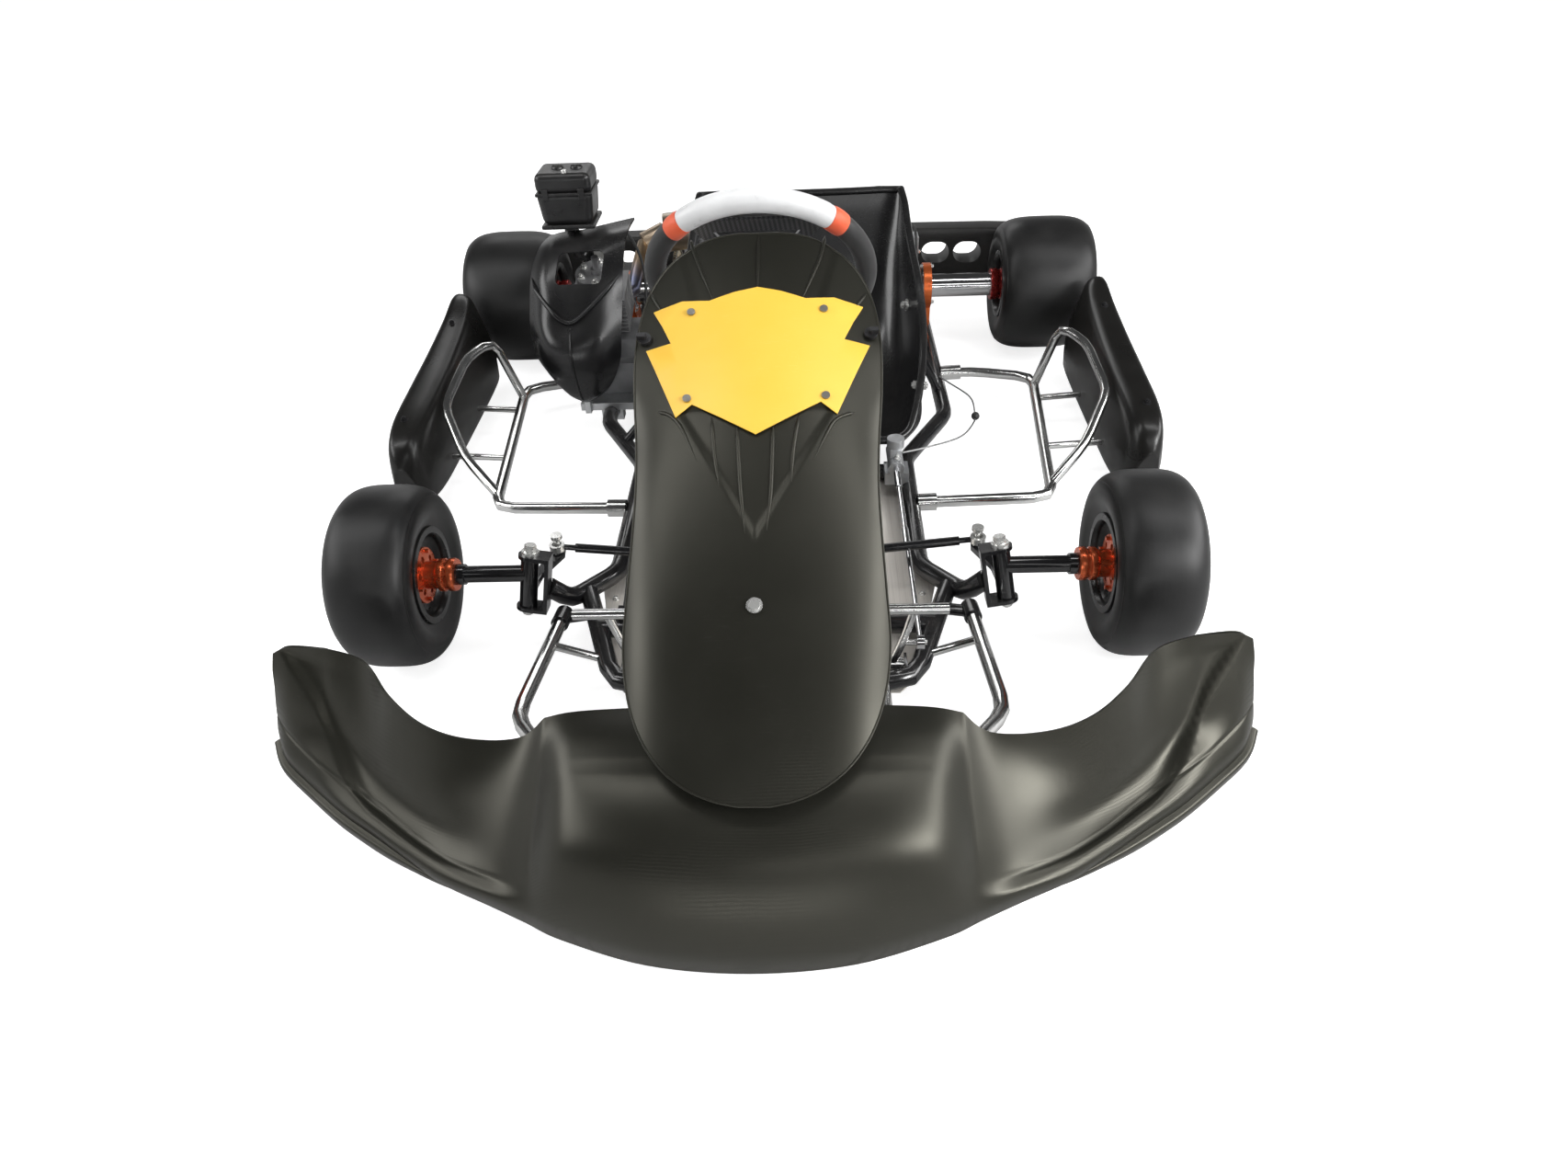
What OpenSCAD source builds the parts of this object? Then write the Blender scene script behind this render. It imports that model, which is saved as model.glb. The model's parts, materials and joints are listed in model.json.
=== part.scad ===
// Racing kart: welded tube frame, moulded bodywork, bucket seat, engine, brakes and steering.
// The front of the kart faces -Y, +Z is up, and the driver's left side is +X.
// The origin is on the ground at the middle of the kart's outer box.

/* [Overall layout] */
// distance between the front and the rear axle
wheelbase = 1050; // [1044:2:1056]
// distance between the middles of the front tyres
front_track = 1081; // [1077:1:1085]
// distance between the middles of the rear tyres
rear_track = 1181; // [1177:1:1183]

/* [Tyres and rims] */
// outer diameter of the front tyres
front_tyre_d = 268; // [264:2:272]
// width of the front tyres
front_tyre_w = 124; // [120:1:126]
// outer diameter of the rear tyres
rear_tyre_d = 284; // [280:2:288]
// width of the rear tyres
rear_tyre_w = 207; // [202:1:208]
// diameter that the tyre beads sit on
rim_d = 127; // [125:1:129]
// thickness of the tyre walls
tyre_t = 6; // [5:0.5:7]

/* [Frame tubes] */
// outer diameter of the main frame tubes
rail_d = 30; // [28:1:31]
// height of the middle of the frame tubes above the ground
frame_z = 50; // [49:1:52]
// outer diameter of the nose bars and side bars
bar_d = 20; // [18:1:21]
// thickness of the floor tray
tray_t = 2; // [1.5:0.5:3]

/* [Axles and kingpins] */
// outer diameter of the rear axle
axle_d = 50; // [49:1:51]
// diameter of the bore through the rear axle
axle_bore = 42; // [40:1:43]
// diameter of the front stub axles
stub_d = 25; // [24:1:26]
// diameter of the kingpin bolts
kingpin_d = 10; // [9:1:11]
// inward lean of the kingpins, in degrees
kingpin_lean = 10; // [8:1:11]
// backward lean of the kingpins, in degrees
caster = 12; // [10:1:13]

/* [Steering] */
// outer diameter of the steering wheel
wheel_d = 350; // [340:2:352]
// diameter of the steering wheel's grip
grip_d = 32; // [30:1:33]
// diameter of the steering column
column_d = 20; // [19:1:21]
// distance from the column to the inner ends of the tie rods
pitman_r = 50; // [48:1:51]
// diameter of the tie rod sleeves
tie_d = 14; // [12:1:15]

/* [Brake and drive] */
// diameter of the brake disc
disc_d = 190; // [184:2:192]
// thickness of the brake disc
disc_t = 12; // [10:1:12]
// pitch of the drive chain
chain_pitch = 7.774; // [7.7:0.002:7.8]
// number of teeth on the rear sprocket
rear_teeth = 78; // [76:1:80]
// number of teeth on the engine's sprocket
engine_teeth = 12; // [11:1:13]

/* [Moulded shells] */
// wall thickness of the front fairing
fairing_t = 4; // [3:0.5:5]
// wall thickness of the front panel
panel_t = 3; // [2.5:0.5:4]
// wall thickness of the seat
seat_t = 5; // [4:0.5:6]
// distance from the middle of the kart to the middle of the seat
seat_x = 55; // [53:1:57]

/* [Fits] */
// radial clearance of a turning or sliding fit
run_fit = 0.05; // [0.04:0.01:0.08]
// gap between pieces that move past each other
gap = 0.4; // [0.3:0.05:0.5]
// extra radius of the eye that leaves the steering linkage open
open_eye = 3.4; // [3.2:0.1:3.6]

/* [Hidden] */
$fn = 48;
yf = -wheelbase / 2 + 163;
yr = yf + wheelbase;
// the frame between the tray and the engine takes up a change of wheelbase
stretch_from = 408;
stretch_to = 600;
stretch = wheelbase - 1050;
front_x = front_track / 2;
rear_x = rear_track / 2;
front_z = front_tyre_d / 2;
rear_z = rear_tyre_d / 2;
rail_r = rail_d / 2;
bar_r = bar_d / 2;
axle_r = axle_d / 2;
stub_r = stub_d / 2;
pin_r = kingpin_d / 2;
tray_z = frame_z - rail_r;
kingpin_x = 345;
knuckle_r = pin_r + 8;
knuckle_low = -51;
knuckle_top = 25;
lug_t = 6;
hub_x = kingpin_x + 107;
flange_x = hub_x + 53;
bearing_x = 335;
disc_x = 288;
chain_x = -225;
engine_y = along(790);
engine_z = 122;
rear_sprocket_r = chain_pitch / 2 / sin(180 / rear_teeth);
engine_sprocket_r = chain_pitch / 2 / sin(180 / engine_teeth);
tooth_h = 2.2;
chain_half = 3.6;
column_lean = 39.3;
column_len = 521;
wheel_lean = 19;
wheel_drop = 18;
wheel_r = (wheel_d - grip_d) / 2;
hub_y = yf + 330;
hub_z = 465;
pitman_z = 75 - column_len;
pitman_x = 18;
tie_end = [321.5, yf + 80, 124];
arm_z = 116;
pedal_x = 205;
pivot_x = 180;
pedal_y = yf - 118;
pedal_z = 52;
rod_z = 94;
cylinder_y = yf + 335;

// a point measured from the front axle line
function along(y) = yf + y + stretch * max(0, min(1, (y - stretch_from) / (stretch_to - stretch_from)));
function p(x, y, z) = [x, along(y), z];
function unit(v) = v / norm(v);
function flat(a) = [for (row = a) each row];
// the middle points of a tube run, with each corner rounded over the length b
function bend(pts, b) = [pts[0],
    for (i = [1:len(pts) - 2])
        let (a = pts[i] + unit(pts[i - 1] - pts[i]) * b, c = pts[i] + unit(pts[i + 1] - pts[i]) * b)
        each [a, a / 4 + pts[i] / 2 + c / 4, c],
    pts[len(pts) - 1]];
// a smooth curve through the rows of a list, with n steps from row to row
function curve_at(a, b, c, d, t) =
    (b * 2 + (c - a) * t + (a * 2 - b * 5 + c * 4 - d) * (t * t)
        + (b * 3 - a - c * 3 + d) * (t * t * t)) / 2;
function smooth(a, n) = [for (i = [0:len(a) - 2]) for (j = [0:n - 1])
        curve_at(a[max(i - 1, 0)], a[i], a[i + 1], a[min(i + 2, len(a) - 1)], j / n),
    a[len(a) - 1]];
function mirror_rows(a) = concat(
    [for (i = [len(a) - 1:-1:1]) [for (q = a[i]) [-q[0], q[1], q[2]]]], a);
function normal_at(g, i, j) = let (m = len(g) - 1, n = len(g[0]) - 1)
    unit(cross(g[i][min(j + 1, n)] - g[i][max(j - 1, 0)], g[min(i + 1, m)][j] - g[max(i - 1, 0)][j]));

module rod(a, b, r) {
    d = b - a;
    translate(a)
    rotate([0, acos(d[2] / norm(d)), atan2(d[1], d[0])])
    cylinder(h = norm(d), r = r);
}
module pipe(pts, r) {
    for (i = [0:len(pts) - 2]) rod(pts[i], pts[i + 1], r);
    for (i = [1:len(pts) - 2]) translate(pts[i]) sphere(r = r);
}
// where the line from q along t leaves the cylinder c, given as two axis points and a radius
function meet(q, t, c) = let (u = unit(c[1] - c[0]), w = q - c[0], m = w - u * (w * u),
        k = t - u * (t * u), b = m * k, d = b * b - (k * k) * (m * m - c[2] * c[2]))
    q + t * ((-b + sqrt(max(d, 0))) / (k * k));
// a swept tube with n flat sides; an end is cut to the cylinder in start or stop, if there is one,
// and bead is a point where the tube swells to a ball of radius bead_r
module hose(pts, r, n, start = [], stop = [], bead = [], bead_r = 0) {
    m = len(pts);
    t = [for (i = [0:m - 1]) unit(pts[min(i + 1, m - 1)] - pts[max(i - 1, 0)])];
    side = [for (i = [0:m - 1]) unit(cross(t[i], [0.31, 0.17, 1]))];
    rings = [for (i = [0:m - 1]) let (v = cross(t[i], side[i]),
            b = len(bead) > 0 ? norm(pts[i] - bead) : 99,
            q = b < bead_r ? max(r, sqrt(bead_r * bead_r - b * b)) : r)
        [for (k = [0:n - 1]) let (c = pts[i] + (side[i] * cos(360 * k / n) + v * sin(360 * k / n)) * q)
            i == 0 && len(start) > 0 ? meet(c, t[0], start)
            : i == m - 1 && len(stop) > 0 ? meet(c, -t[i], stop) : c]];
    back = max([for (q = rings[0]) (q - pts[0]) * t[0]]) + (len(start) > 0 ? 1 : 0);
    front = max([for (q = rings[m - 1]) (q - pts[m - 1]) * -t[m - 1]]) + (len(stop) > 0 ? 1 : 0);
    s = m * n;
    faces = concat(
        [for (k = [0:n - 1]) [s, k, (k + 1) % n]],
        [for (i = [0:m - 2]) for (k = [0:n - 1])
            let (a = i * n + k, b = i * n + (k + 1) % n)
            each [[a, a + n, b + n], [a, b + n, b]]],
        [for (k = [0:n - 1]) [s + 1, s - n + (k + 1) % n, s - n + k]]);
    polyhedron(points = concat(flat(rings), [pts[0] + t[0] * back, pts[m - 1] - t[m - 1] * front]),
        faces = faces, convexity = 8);
}
// a bent tube, swept with sixteen flat sides
module tube(pts, r, start = [], stop = []) {
    hose(pts, r, 16, start, stop);
}
module both_sides() {
    children();
    mirror([1, 0, 0]) children();
}
// a shell of thickness t behind a grid of points
module skin(g, t) {
    m = len(g);
    n = len(g[0]);
    s = m * n;
    inner = [for (i = [0:m - 1]) for (j = [0:n - 1]) g[i][j] - normal_at(g, i, j) * t];
    faces = concat(
        [for (i = [0:m - 2]) for (j = [0:n - 2])
            let (a = i * n + j, b = a + n, c = b + 1, d = a + 1)
            each [[a, b, c], [a, c, d], [a + s, c + s, b + s], [a + s, d + s, c + s]]],
        [for (j = [0:n - 2]) each [[j, j + 1, j + 1 + s], [j, j + 1 + s, j + s]]],
        [for (j = [0:n - 2]) let (a = (m - 1) * n + j)
            each [[a, a + s, a + 1 + s], [a, a + 1 + s, a + 1]]],
        [for (i = [0:m - 2]) let (a = i * n) each [[a, a + s, a + n + s], [a, a + n + s, a + n]]],
        [for (i = [0:m - 2]) let (a = i * n + n - 1)
            each [[a, a + n, a + n + s], [a, a + n + s, a + s]]]);
    polyhedron(points = concat(flat(g), inner), faces = faces, convexity = 8);
}
// a solid through closed rings of points
module loft(rings) {
    m = len(rings);
    n = len(rings[0]);
    faces = concat(
        [[for (k = [0:n - 1]) k]],
        [for (i = [0:m - 2]) for (k = [0:n - 1])
            let (a = i * n + k, b = i * n + (k + 1) % n)
            each [[a, a + n, b + n], [a, b + n, b]]],
        [[for (k = [n - 1:-1:0]) (m - 1) * n + k]]);
    polyhedron(points = flat(rings), faces = faces, convexity = 8);
}
// places children on the kingpin axis of one side, at the height of the axle
module at_kingpin(side) {
    translate([side * kingpin_x, yf, front_z])
    rotate([-caster, -side * kingpin_lean, 0])
    children();
}
// places children with z along the steering column, from the wheel end
module at_column() {
    translate([0, hub_y, hub_z]) rotate([-column_lean, 0, 0]) children();
}
module at_wheel() {
    at_column() translate([0, 0, -wheel_drop]) rotate([-wheel_lean, 0, 0]) children();
}
// places children with z pointing out along a wheel's axis
module at_front_wheel(side) {
    translate([side * front_x, yf, front_z]) rotate([0, side * 90, 0]) children();
}
module at_rear_wheel(side) {
    translate([side * rear_x, yr, rear_z]) rotate([0, side * 90, 0]) children();
}
// places children with z pointing along the rear axle at x
module on_axle(x) {
    translate([x, yr, rear_z]) rotate([0, 90, 0]) children();
}

// frame

rail_run = [[335, yr + 150, frame_z], p(335, 610, frame_z), p(243, 440, frame_z),
    p(240, 112, frame_z), p(300, 30, frame_z + 10), p(324, 7, 103)];
// where the pedal loop leaves the rail, and its front corner
loop_a = rail_run[4] * 0.66 + rail_run[3] * 0.34;
loop_b = p(210, -150, frame_z);
loop_r = rail_r - 1;
function flip(q) = [-q[0], q[1], q[2]];
module rail_half() {
    difference() {
        tube(bend(rail_run, 20), rail_r);
        at_kingpin(1) translate([-30, -40, -90]) cube([80, 80, 150]);
    }
}
module rail_left() {
    color([0.07, 0.07, 0.08]) rail_half();
}
module rail_right() {
    color([0.07, 0.07, 0.08]) mirror([1, 0, 0]) rail_half();
}
// a straight tube across the kart between two points' height, cut to the pieces beside it
module cross_tube(x, y, z) {
    translate([-x, y, z]) rotate([0, 90, 0]) cylinder(h = 2 * x, r = loop_r);
}
front_cross = loop_a * 0.56 + loop_b * 0.44;
module cross_tubes() {
    color([0.07, 0.07, 0.08]) {
        // pedal loop ahead of the front axle
        tube(bend([flip(loop_a), flip(loop_b), loop_b, loop_a], 34), loop_r,
            [flip(rail_run[3]), flip(rail_run[4]), rail_r + gap], [rail_run[3], rail_run[4], rail_r + gap]);
        cross_tube(front_cross[0], front_cross[1], front_cross[2]);
        difference() {
            cross_tube(241, yf + 400, frame_z);
            both_sides() rod(rail_run[2], rail_run[3], rail_r);
        }
        for (y = [yr - 145, yr + 125])
            difference() {
                cross_tube(335, y, frame_z);
                both_sides() rod(rail_run[0], rail_run[1], rail_r);
            }
        // lugs for the pedal pivots
        both_sides() difference() {
            for (x = [pivot_x - 21, pivot_x + 17]) translate(p(x, -141, 42)) cube([4, 35, 20]);
            translate([pivot_x - 30, pedal_y, pedal_z]) rotate([0, 90, 0]) cylinder(h = 60, r = 4);
        }
        // stop for the throttle cable
        translate(p(-216, -38, 60)) cube([16, 14, 30]);
        // sockets for the upper nose bar
        both_sides() {
            rod(p(300.5, -14, 70), p(302, -46, 74), bar_r + 3);
            rod(p(262, 0, 55), p(300, -28, 71), 9);
        }
    }
}
module steering_yokes() {
    color([0.06, 0.06, 0.07]) for (side = [-1, 1]) at_kingpin(side) difference() {
        union() {
            translate([side * 27 - 3, -17, knuckle_low - gap - lug_t] + [-side * 54, 0, 0])
            cube([lug_t, 34, knuckle_top - knuckle_low + 2 * gap + 2 * lug_t]);
            for (z = [knuckle_top + gap, knuckle_low - gap - lug_t])
                translate([0, 0, z]) linear_extrude(lug_t) union() {
                    circle(r = 17);
                    translate([side > 0 ? -27 : 0, -17]) square([27, 34]);
                }
        }
        translate([0, 0, -90]) cylinder(h = 160, r = pin_r);
    }
}
module floor_tray() {
    color([0.75, 0.76, 0.78]) difference() {
        translate([0, 0, tray_z - tray_t]) linear_extrude(tray_t) polygon([
            [-222, yf + 405], [-240, yf + 380], [-240, yf + 112], [-262, yf + 80], [-214, yf - 130],
            [-190, yf - 158], [190, yf - 158], [214, yf - 130], [262, yf + 80], [240, yf + 112],
            [240, yf + 380], [222, yf + 405]]);
        // drain and bolt holes
        for (x = [-150, 0, 150]) for (y = [-60, 340])
            translate(p(x, y, tray_z - 10)) cylinder(h = 20, r = 6);
    }
}
module nose_bars() {
    color([0.8, 0.81, 0.83]) {
        // upper bar from the sockets at the front corners of the frame
        tube(bend([p(-302, -47, 74), p(-311, -262, 100), p(-222, -400, 146),
            p(222, -400, 146), p(311, -262, 100), p(302, -47, 74)], 30), bar_r);
        // braces down to the pedal loop
        both_sides() difference() {
            rod(p(304, -100, 81), p(226, -100, 51), 6);
            rod(loop_a, loop_b, loop_r + gap);
        }
        // lower bar from the pedal loop, and struts between the bars
        tube(bend([p(-165, -150, 50), p(-165, -470, 66), p(165, -470, 66), p(165, -150, 50)], 40), bar_r,
            [flip(loop_b), loop_b, loop_r + gap], [flip(loop_b), loop_b, loop_r + gap]);
        both_sides() rod(p(110, -469, 67), p(110, -401, 145), 6);
    }
}

// front bodywork

// half sections of the fairing, from the rear edge over the top to the lower lip
fairing_rows = [
    [[0, -345, 200], [0, -400, 202], [0, -468, 195], [0, -528, 168], [0, -566, 124], [0, -586, 78], [0, -587, 45]],
    [[110, -346, 199], [110, -398, 201], [110, -463, 192], [110, -520, 164], [110, -556, 120], [110, -576, 76], [110, -577, 45]],
    [[200, -349, 197], [198, -396, 194], [196, -450, 178], [198, -502, 148], [202, -532, 108], [206, -546, 74], [207, -547, 46]],
    [[240, -352, 190], [240, -390, 172], [240, -432, 148], [242, -478, 118], [245, -510, 90], [250, -525, 70], [251, -526, 47]],
    [[272, -362, 168], [276, -392, 148], [280, -426, 124], [285, -462, 98], [290, -488, 78], [296, -504, 68], [297, -505, 49]],
    [[338, -360, 166], [340, -386, 134], [343, -412, 108], [346, -436, 86], [350, -456, 72], [356, -478, 66], [357, -479, 50]],
    [[392, -344, 174], [393, -368, 136], [395, -389, 107], [397, -407, 86], [400, -422, 73], [405, -446, 68], [406, -448, 53]],
    [[438, -312, 190], [438, -338, 148], [440, -358, 118], [443, -374, 95], [446, -387, 80], [452, -416, 73], [453, -419, 58]],
    [[480, -266, 205], [482, -298, 162], [485, -322, 131], [488, -341, 107], [492, -356, 90], [500, -386, 80], [502, -389, 65]],
    [[530, -252, 213], [532, -277, 178], [534, -297, 149], [537, -314, 124], [541, -328, 104], [548, -350, 90], [550, -354, 74]],
    [[575, -250, 217], [577, -266, 189], [579, -280, 163], [582, -292, 140], [585, -302, 120], [589, -316, 101], [591, -320, 86]],
    [[598, -249, 217], [600, -258, 192], [602, -266, 168], [604, -273, 147], [606, -279, 129], [608, -287, 110], [609, -290, 96]]];
function lift(rows) = [for (row = rows) [for (q = row) p(q[0], q[1], q[2])]];
function both_ways(rows, a, b) = let (g = smooth(rows, a)) [for (row = g) smooth(row, b)];
fairing_grid = both_ways(lift(mirror_rows(fairing_rows)), 2, 2);
module front_fairing() {
    color([0.10, 0.10, 0.10]) skin(fairing_grid, fairing_t);
}

// outline of the front panel: distance up from its lower end, and half width there
panel_rows = [[3, 26], [10, 60], [26, 90], [52, 114], [88, 132], [130, 143], [180, 147], [240, 145],
    [310, 142], [370, 141], [430, 144], [490, 149], [550, 151], [600, 148], [645, 139], [682, 122],
    [708, 100], [726, 76], [735, 50], [738, 26]];
panel_len = 739;
panel_x = 9;
// a point of the panel's surface: across it from -1 to 1, and up it
function panel_point(t, row, h) = let (s = row[0], x = t * row[1])
    [x, s, h + 26 * 4 * (s / panel_len) * (1 - s / panel_len) - 20 * (x / 150) * (x / 150)];
panel_grid = [for (row = panel_rows) [for (k = [-6:6]) panel_point(k / 6, row, 0)]];
module at_panel() {
    translate(p(panel_x, -500, 205)) rotate([30, 0, 0]) children();
}
module front_panel() {
    color([0.10, 0.10, 0.10]) at_panel() difference() {
        skin(panel_grid, panel_t);
        translate([0, 213, -40]) cylinder(h = 90, r = 4.2);
    }
}
plate_outline = [[0, 641], [30, 634], [60, 623], [95, 627], [131, 616], [118, 590], [106, 562],
    [137, 556], [116, 505], [95, 452], [76, 468], [40, 446], [0, 422], [-40, 446], [-76, 468],
    [-95, 452], [-116, 505], [-137, 556], [-106, 562], [-118, 590], [-131, 616], [-95, 627],
    [-60, 623], [-30, 634]];
plate_t = 1.5;
plate_grid = [for (s = [412, 470, 530, 590, 650])
    [for (k = [-6:6]) panel_point(k / 6, [s, 142], plate_t + 0.3)]];
module number_plate() {
    color([0.96, 0.80, 0.27]) at_panel() intersection() {
        skin(plate_grid, plate_t);
        translate([0, 0, -60]) linear_extrude(160) polygon(plate_outline);
    }
}
function panel_h(x, s) = panel_point(x / 150, [s, 150], 0)[2];
module panel_fixings() {
    // screws on the plate
    color([0.8, 0.8, 0.8]) at_panel() for (q = [[-82, 606], [82, 606], [-82, 476], [82, 476]])
        translate([q[0], q[1], panel_h(q[0], q[1]) + plate_t + 1.1]) cylinder(h = 2, r = 5);
    // bolt and washer low on the panel
    color([0.8, 0.8, 0.8]) at_panel() translate([0, 213, panel_h(0, 213) + 0.2]) {
        cylinder(h = 1.5, r = 9);
        translate([0, 0, 1.5]) cylinder(h = 4, r = 6.5);
        translate([0, 0, -16]) cylinder(h = 16, r = 4);
    }
    // clips at the sides of the panel
    color([0.05, 0.05, 0.05]) at_panel() for (side = [-1, 1])
        translate([side * 139, 573, panel_h(139, 573) + 2]) {
            cylinder(h = 5, r = 8);
            translate([side * 4 - 5, -3, 4]) cube([10, 6, 8]);
            translate([0, 0, 5]) cylinder(h = 6, r = 3.5);
        }
    // hooks that hold the fairing on the nose bar
    color([0.05, 0.05, 0.05]) for (x = [-150, 150]) difference() {
        translate(p(x - 12, -416, 132)) cube([24, 32, 59]);
        rod(p(x - 20, -400, 146), p(x + 20, -400, 146), bar_r);
        translate(p(x - 20, -404, 120)) cube([40, 8, 26]);
    }
}

// steering

bush_line = [[0, hub_y - 90 * sin(column_lean), hub_z - 90 * cos(column_lean)],
    [0, hub_y - 160 * sin(column_lean), hub_z - 160 * cos(column_lean)], column_d / 2 + 9 + gap / 4];
module column_support() {
    color([0.07, 0.07, 0.08]) {
        // braces from the front cross tube up to the upper bush
        both_sides() tube(bend([[110, front_cross[1], front_cross[2]], p(74, 60, 170), [0, bush_line[0][1] - 24,
            bush_line[0][2] - 29]], 20), 8, [[0, front_cross[1], front_cross[2]],
            [200, front_cross[1], front_cross[2]], loop_r + gap / 4], bush_line);
        difference() {
            at_column() translate([0, 0, -150]) cylinder(h = 44, r = column_d / 2 + 9);
            at_column() translate([0, 0, -160]) cylinder(h = 70, r = column_d / 2 + run_fit);
        }
        // lower bearing tab
        difference() {
            union() {
                at_column() translate([0, 0, 17 - column_len]) cylinder(h = 16, r = column_d / 2 + 8);
                rod([0, front_cross[1], front_cross[2]], p(0, -2, 70), 9);
            }
            at_column() translate([0, 0, -19 - column_len]) cylinder(h = 80, r = column_d / 2 + run_fit);
            cross_tube(80, front_cross[1], front_cross[2]);
        }
        // bars that carry the front panel
        for (side = [-1, 1]) tube(bend([[0, bush_line[0][1] - 14, bush_line[0][2] - 17],
            p(panel_x + side * 54, 180, 430), p(panel_x + side * 66, -20, 466),
            p(panel_x + side * 66, -33.5, 488.5)], 20), 5, bush_line);
    }
}
module steering_column() {
    color([0.75, 0.76, 0.78]) at_column() {
        translate([0, 0, -column_len]) cylinder(h = column_len - 30 - wheel_drop, r = column_d / 2);
        // collars that hold the column in its bearings
        translate([0, 0, -106 + gap]) cylinder(h = 8, r = column_d / 2 + 6);
        translate([0, 0, 33 - column_len + gap]) cylinder(h = 7, r = column_d / 2 + 6);
        // arm for the tie rods
        translate([0, 0, pitman_z - 14]) difference() {
            linear_extrude(7) polygon([[-16, -14], [16, -14], [30, pitman_r - 6],
                [30, pitman_r + 12], [-30, pitman_r + 12], [-30, pitman_r - 6]]);
            translate([0, 0, -1]) cylinder(h = 9, r = column_d / 2 - 1);
        }
        // bolts that carry the tie rods
        for (side = [-1, 1]) translate([side * pitman_x, pitman_r, pitman_z - 8])
            cylinder(h = 19, r = 4);
        // boss that the steering wheel bolts to
        translate([0, 0, -52 - wheel_drop]) cylinder(h = 24, r = column_d / 2 + 8);
    }
}
module steering_plate() {
    color([0.16, 0.16, 0.17]) difference() {
        union() {
            // hub wedge
            difference() {
                at_wheel() translate([0, 0, -40]) cylinder(h = 34, r = 30);
                at_column() translate([0, 0, -128 - wheel_drop]) cylinder(h = 100, r = 60);
            }
            at_wheel() translate([0, 0, -6]) linear_extrude(5) difference() {
                union() {
                    circle(r = 52);
                    // two wide spokes to the top and one to each side
                    polygon([[-40, -30], [-92, -112], [-80, -128], [80, -128], [92, -112], [40, -30]]);
                    polygon([[-30, 10], [-148, 34], [-148, 66], [-20, 46]]);
                    polygon([[30, 10], [148, 34], [148, 66], [20, 46]]);
                }
                circle(r = 11);
                polygon([[-30, -52], [-62, -104], [62, -104], [30, -52]]);
            }
        }
        at_wheel() for (a = [30:60:359]) rotate([0, 0, a]) translate([22, 0, -60])
            cylinder(h = 80, r = 3.1);
        at_wheel() rotate_extrude() translate([wheel_r, 0]) circle(r = grip_d / 2);
        grip_arc(-90 - grip_half, 2 * grip_half, grip_d / 2 + 1);
    }
}
// an arc of the steering wheel's grip, from angle a over the span w
module grip_arc(a, w, r) {
    at_wheel() rotate([0, 0, a]) rotate_extrude(angle = w) translate([wheel_r, 0]) circle(r = r);
}
grip_half = 40;
band_w = 9;
module steering_rim() {
    color([0.05, 0.05, 0.05])
        grip_arc(-90 + grip_half + band_w, 360 - 2 * grip_half - 2 * band_w, grip_d / 2);
}
module steering_grip() {
    color([0.72, 0.73, 0.74]) grip_arc(-90 - grip_half, 2 * grip_half, grip_d / 2 + 1);
}
module steering_bands() {
    color([0.86, 0.27, 0.12]) {
        grip_arc(-90 + grip_half, band_w, grip_d / 2 + 1.5);
        grip_arc(-90 - grip_half - band_w, band_w, grip_d / 2 + 1.5);
    }
}
// front knuckle with its stub axle and steering arm
module knuckle(side) {
    difference() {
        union() {
            at_kingpin(side) translate([0, 0, knuckle_low])
                cylinder(h = knuckle_top - knuckle_low, r = knuckle_r);
            translate([side * kingpin_x, yf, front_z]) rotate([0, side * 90, 0])
                cylinder(h = 218, r = stub_r);
            translate([side * (hub_x - 12 - gap), yf, front_z]) rotate([0, side * 90, 0])
                cylinder(h = 12, r = stub_r + 3);
            translate([side * kingpin_x, yf, arm_z - 9]) linear_extrude(9)
                polygon([[side * 12, -6], [side * -7, -8], [side * -11, 24], [side * -34, 74],
                    [side * -32, 92], [side * -18, 92], [side * -12, 76]]);
            translate([side * 320, tie_end[1], arm_z]) cylinder(h = 30, r = 4);
            translate([side * 320, tie_end[1], arm_z + 24]) cylinder(h = 6, r = 9);
        }
        at_kingpin(side) translate([0, 0, -90]) cylinder(h = 160, r = pin_r + run_fit);
        at_kingpin(side) translate([-60, -60, -150]) cube([120, 120, 150 + knuckle_low]);
        at_kingpin(side) translate([side * -13 - 17, -19, knuckle_top]) cube([34, 38, 30]);
    }
}
module stub_axle_left() {
    color([0.05, 0.05, 0.05]) knuckle(1);
}
module stub_axle_right() {
    color([0.05, 0.05, 0.05]) knuckle(-1);
}
function pitman_point(side) = let (c = cos(column_lean), s = sin(column_lean))
    [side * pitman_x, hub_y + pitman_r * c + pitman_z * s, hub_z - pitman_r * s + pitman_z * c];
module tie_rod(side) {
    inner = pitman_point(side);
    outer = [side * tie_end[0], tie_end[1], tie_end[2]];
    u = unit(outer - inner);
    difference() {
        union() {
            rod(inner + u * 26, outer - u * 28, tie_d / 2);
            rod(inner, outer, 4.5);
            at_column() translate([side * pitman_x, pitman_r, pitman_z - 7 + gap]) cylinder(h = 13, r = 10);
            translate(outer - [0, 0, 5]) cylinder(h = 10, r = 12);
        }
        at_column() translate([side * pitman_x, pitman_r, pitman_z - 30])
            cylinder(h = 60, r = 4 + gap);
        translate(outer - [0, 0, 20]) cylinder(h = 40, r = 4 + open_eye);
    }
}
module tie_rod_left() {
    color([0.05, 0.05, 0.05]) tie_rod(1);
}
module tie_rod_right() {
    color([0.05, 0.05, 0.05]) tie_rod(-1);
}

// wheels

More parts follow.
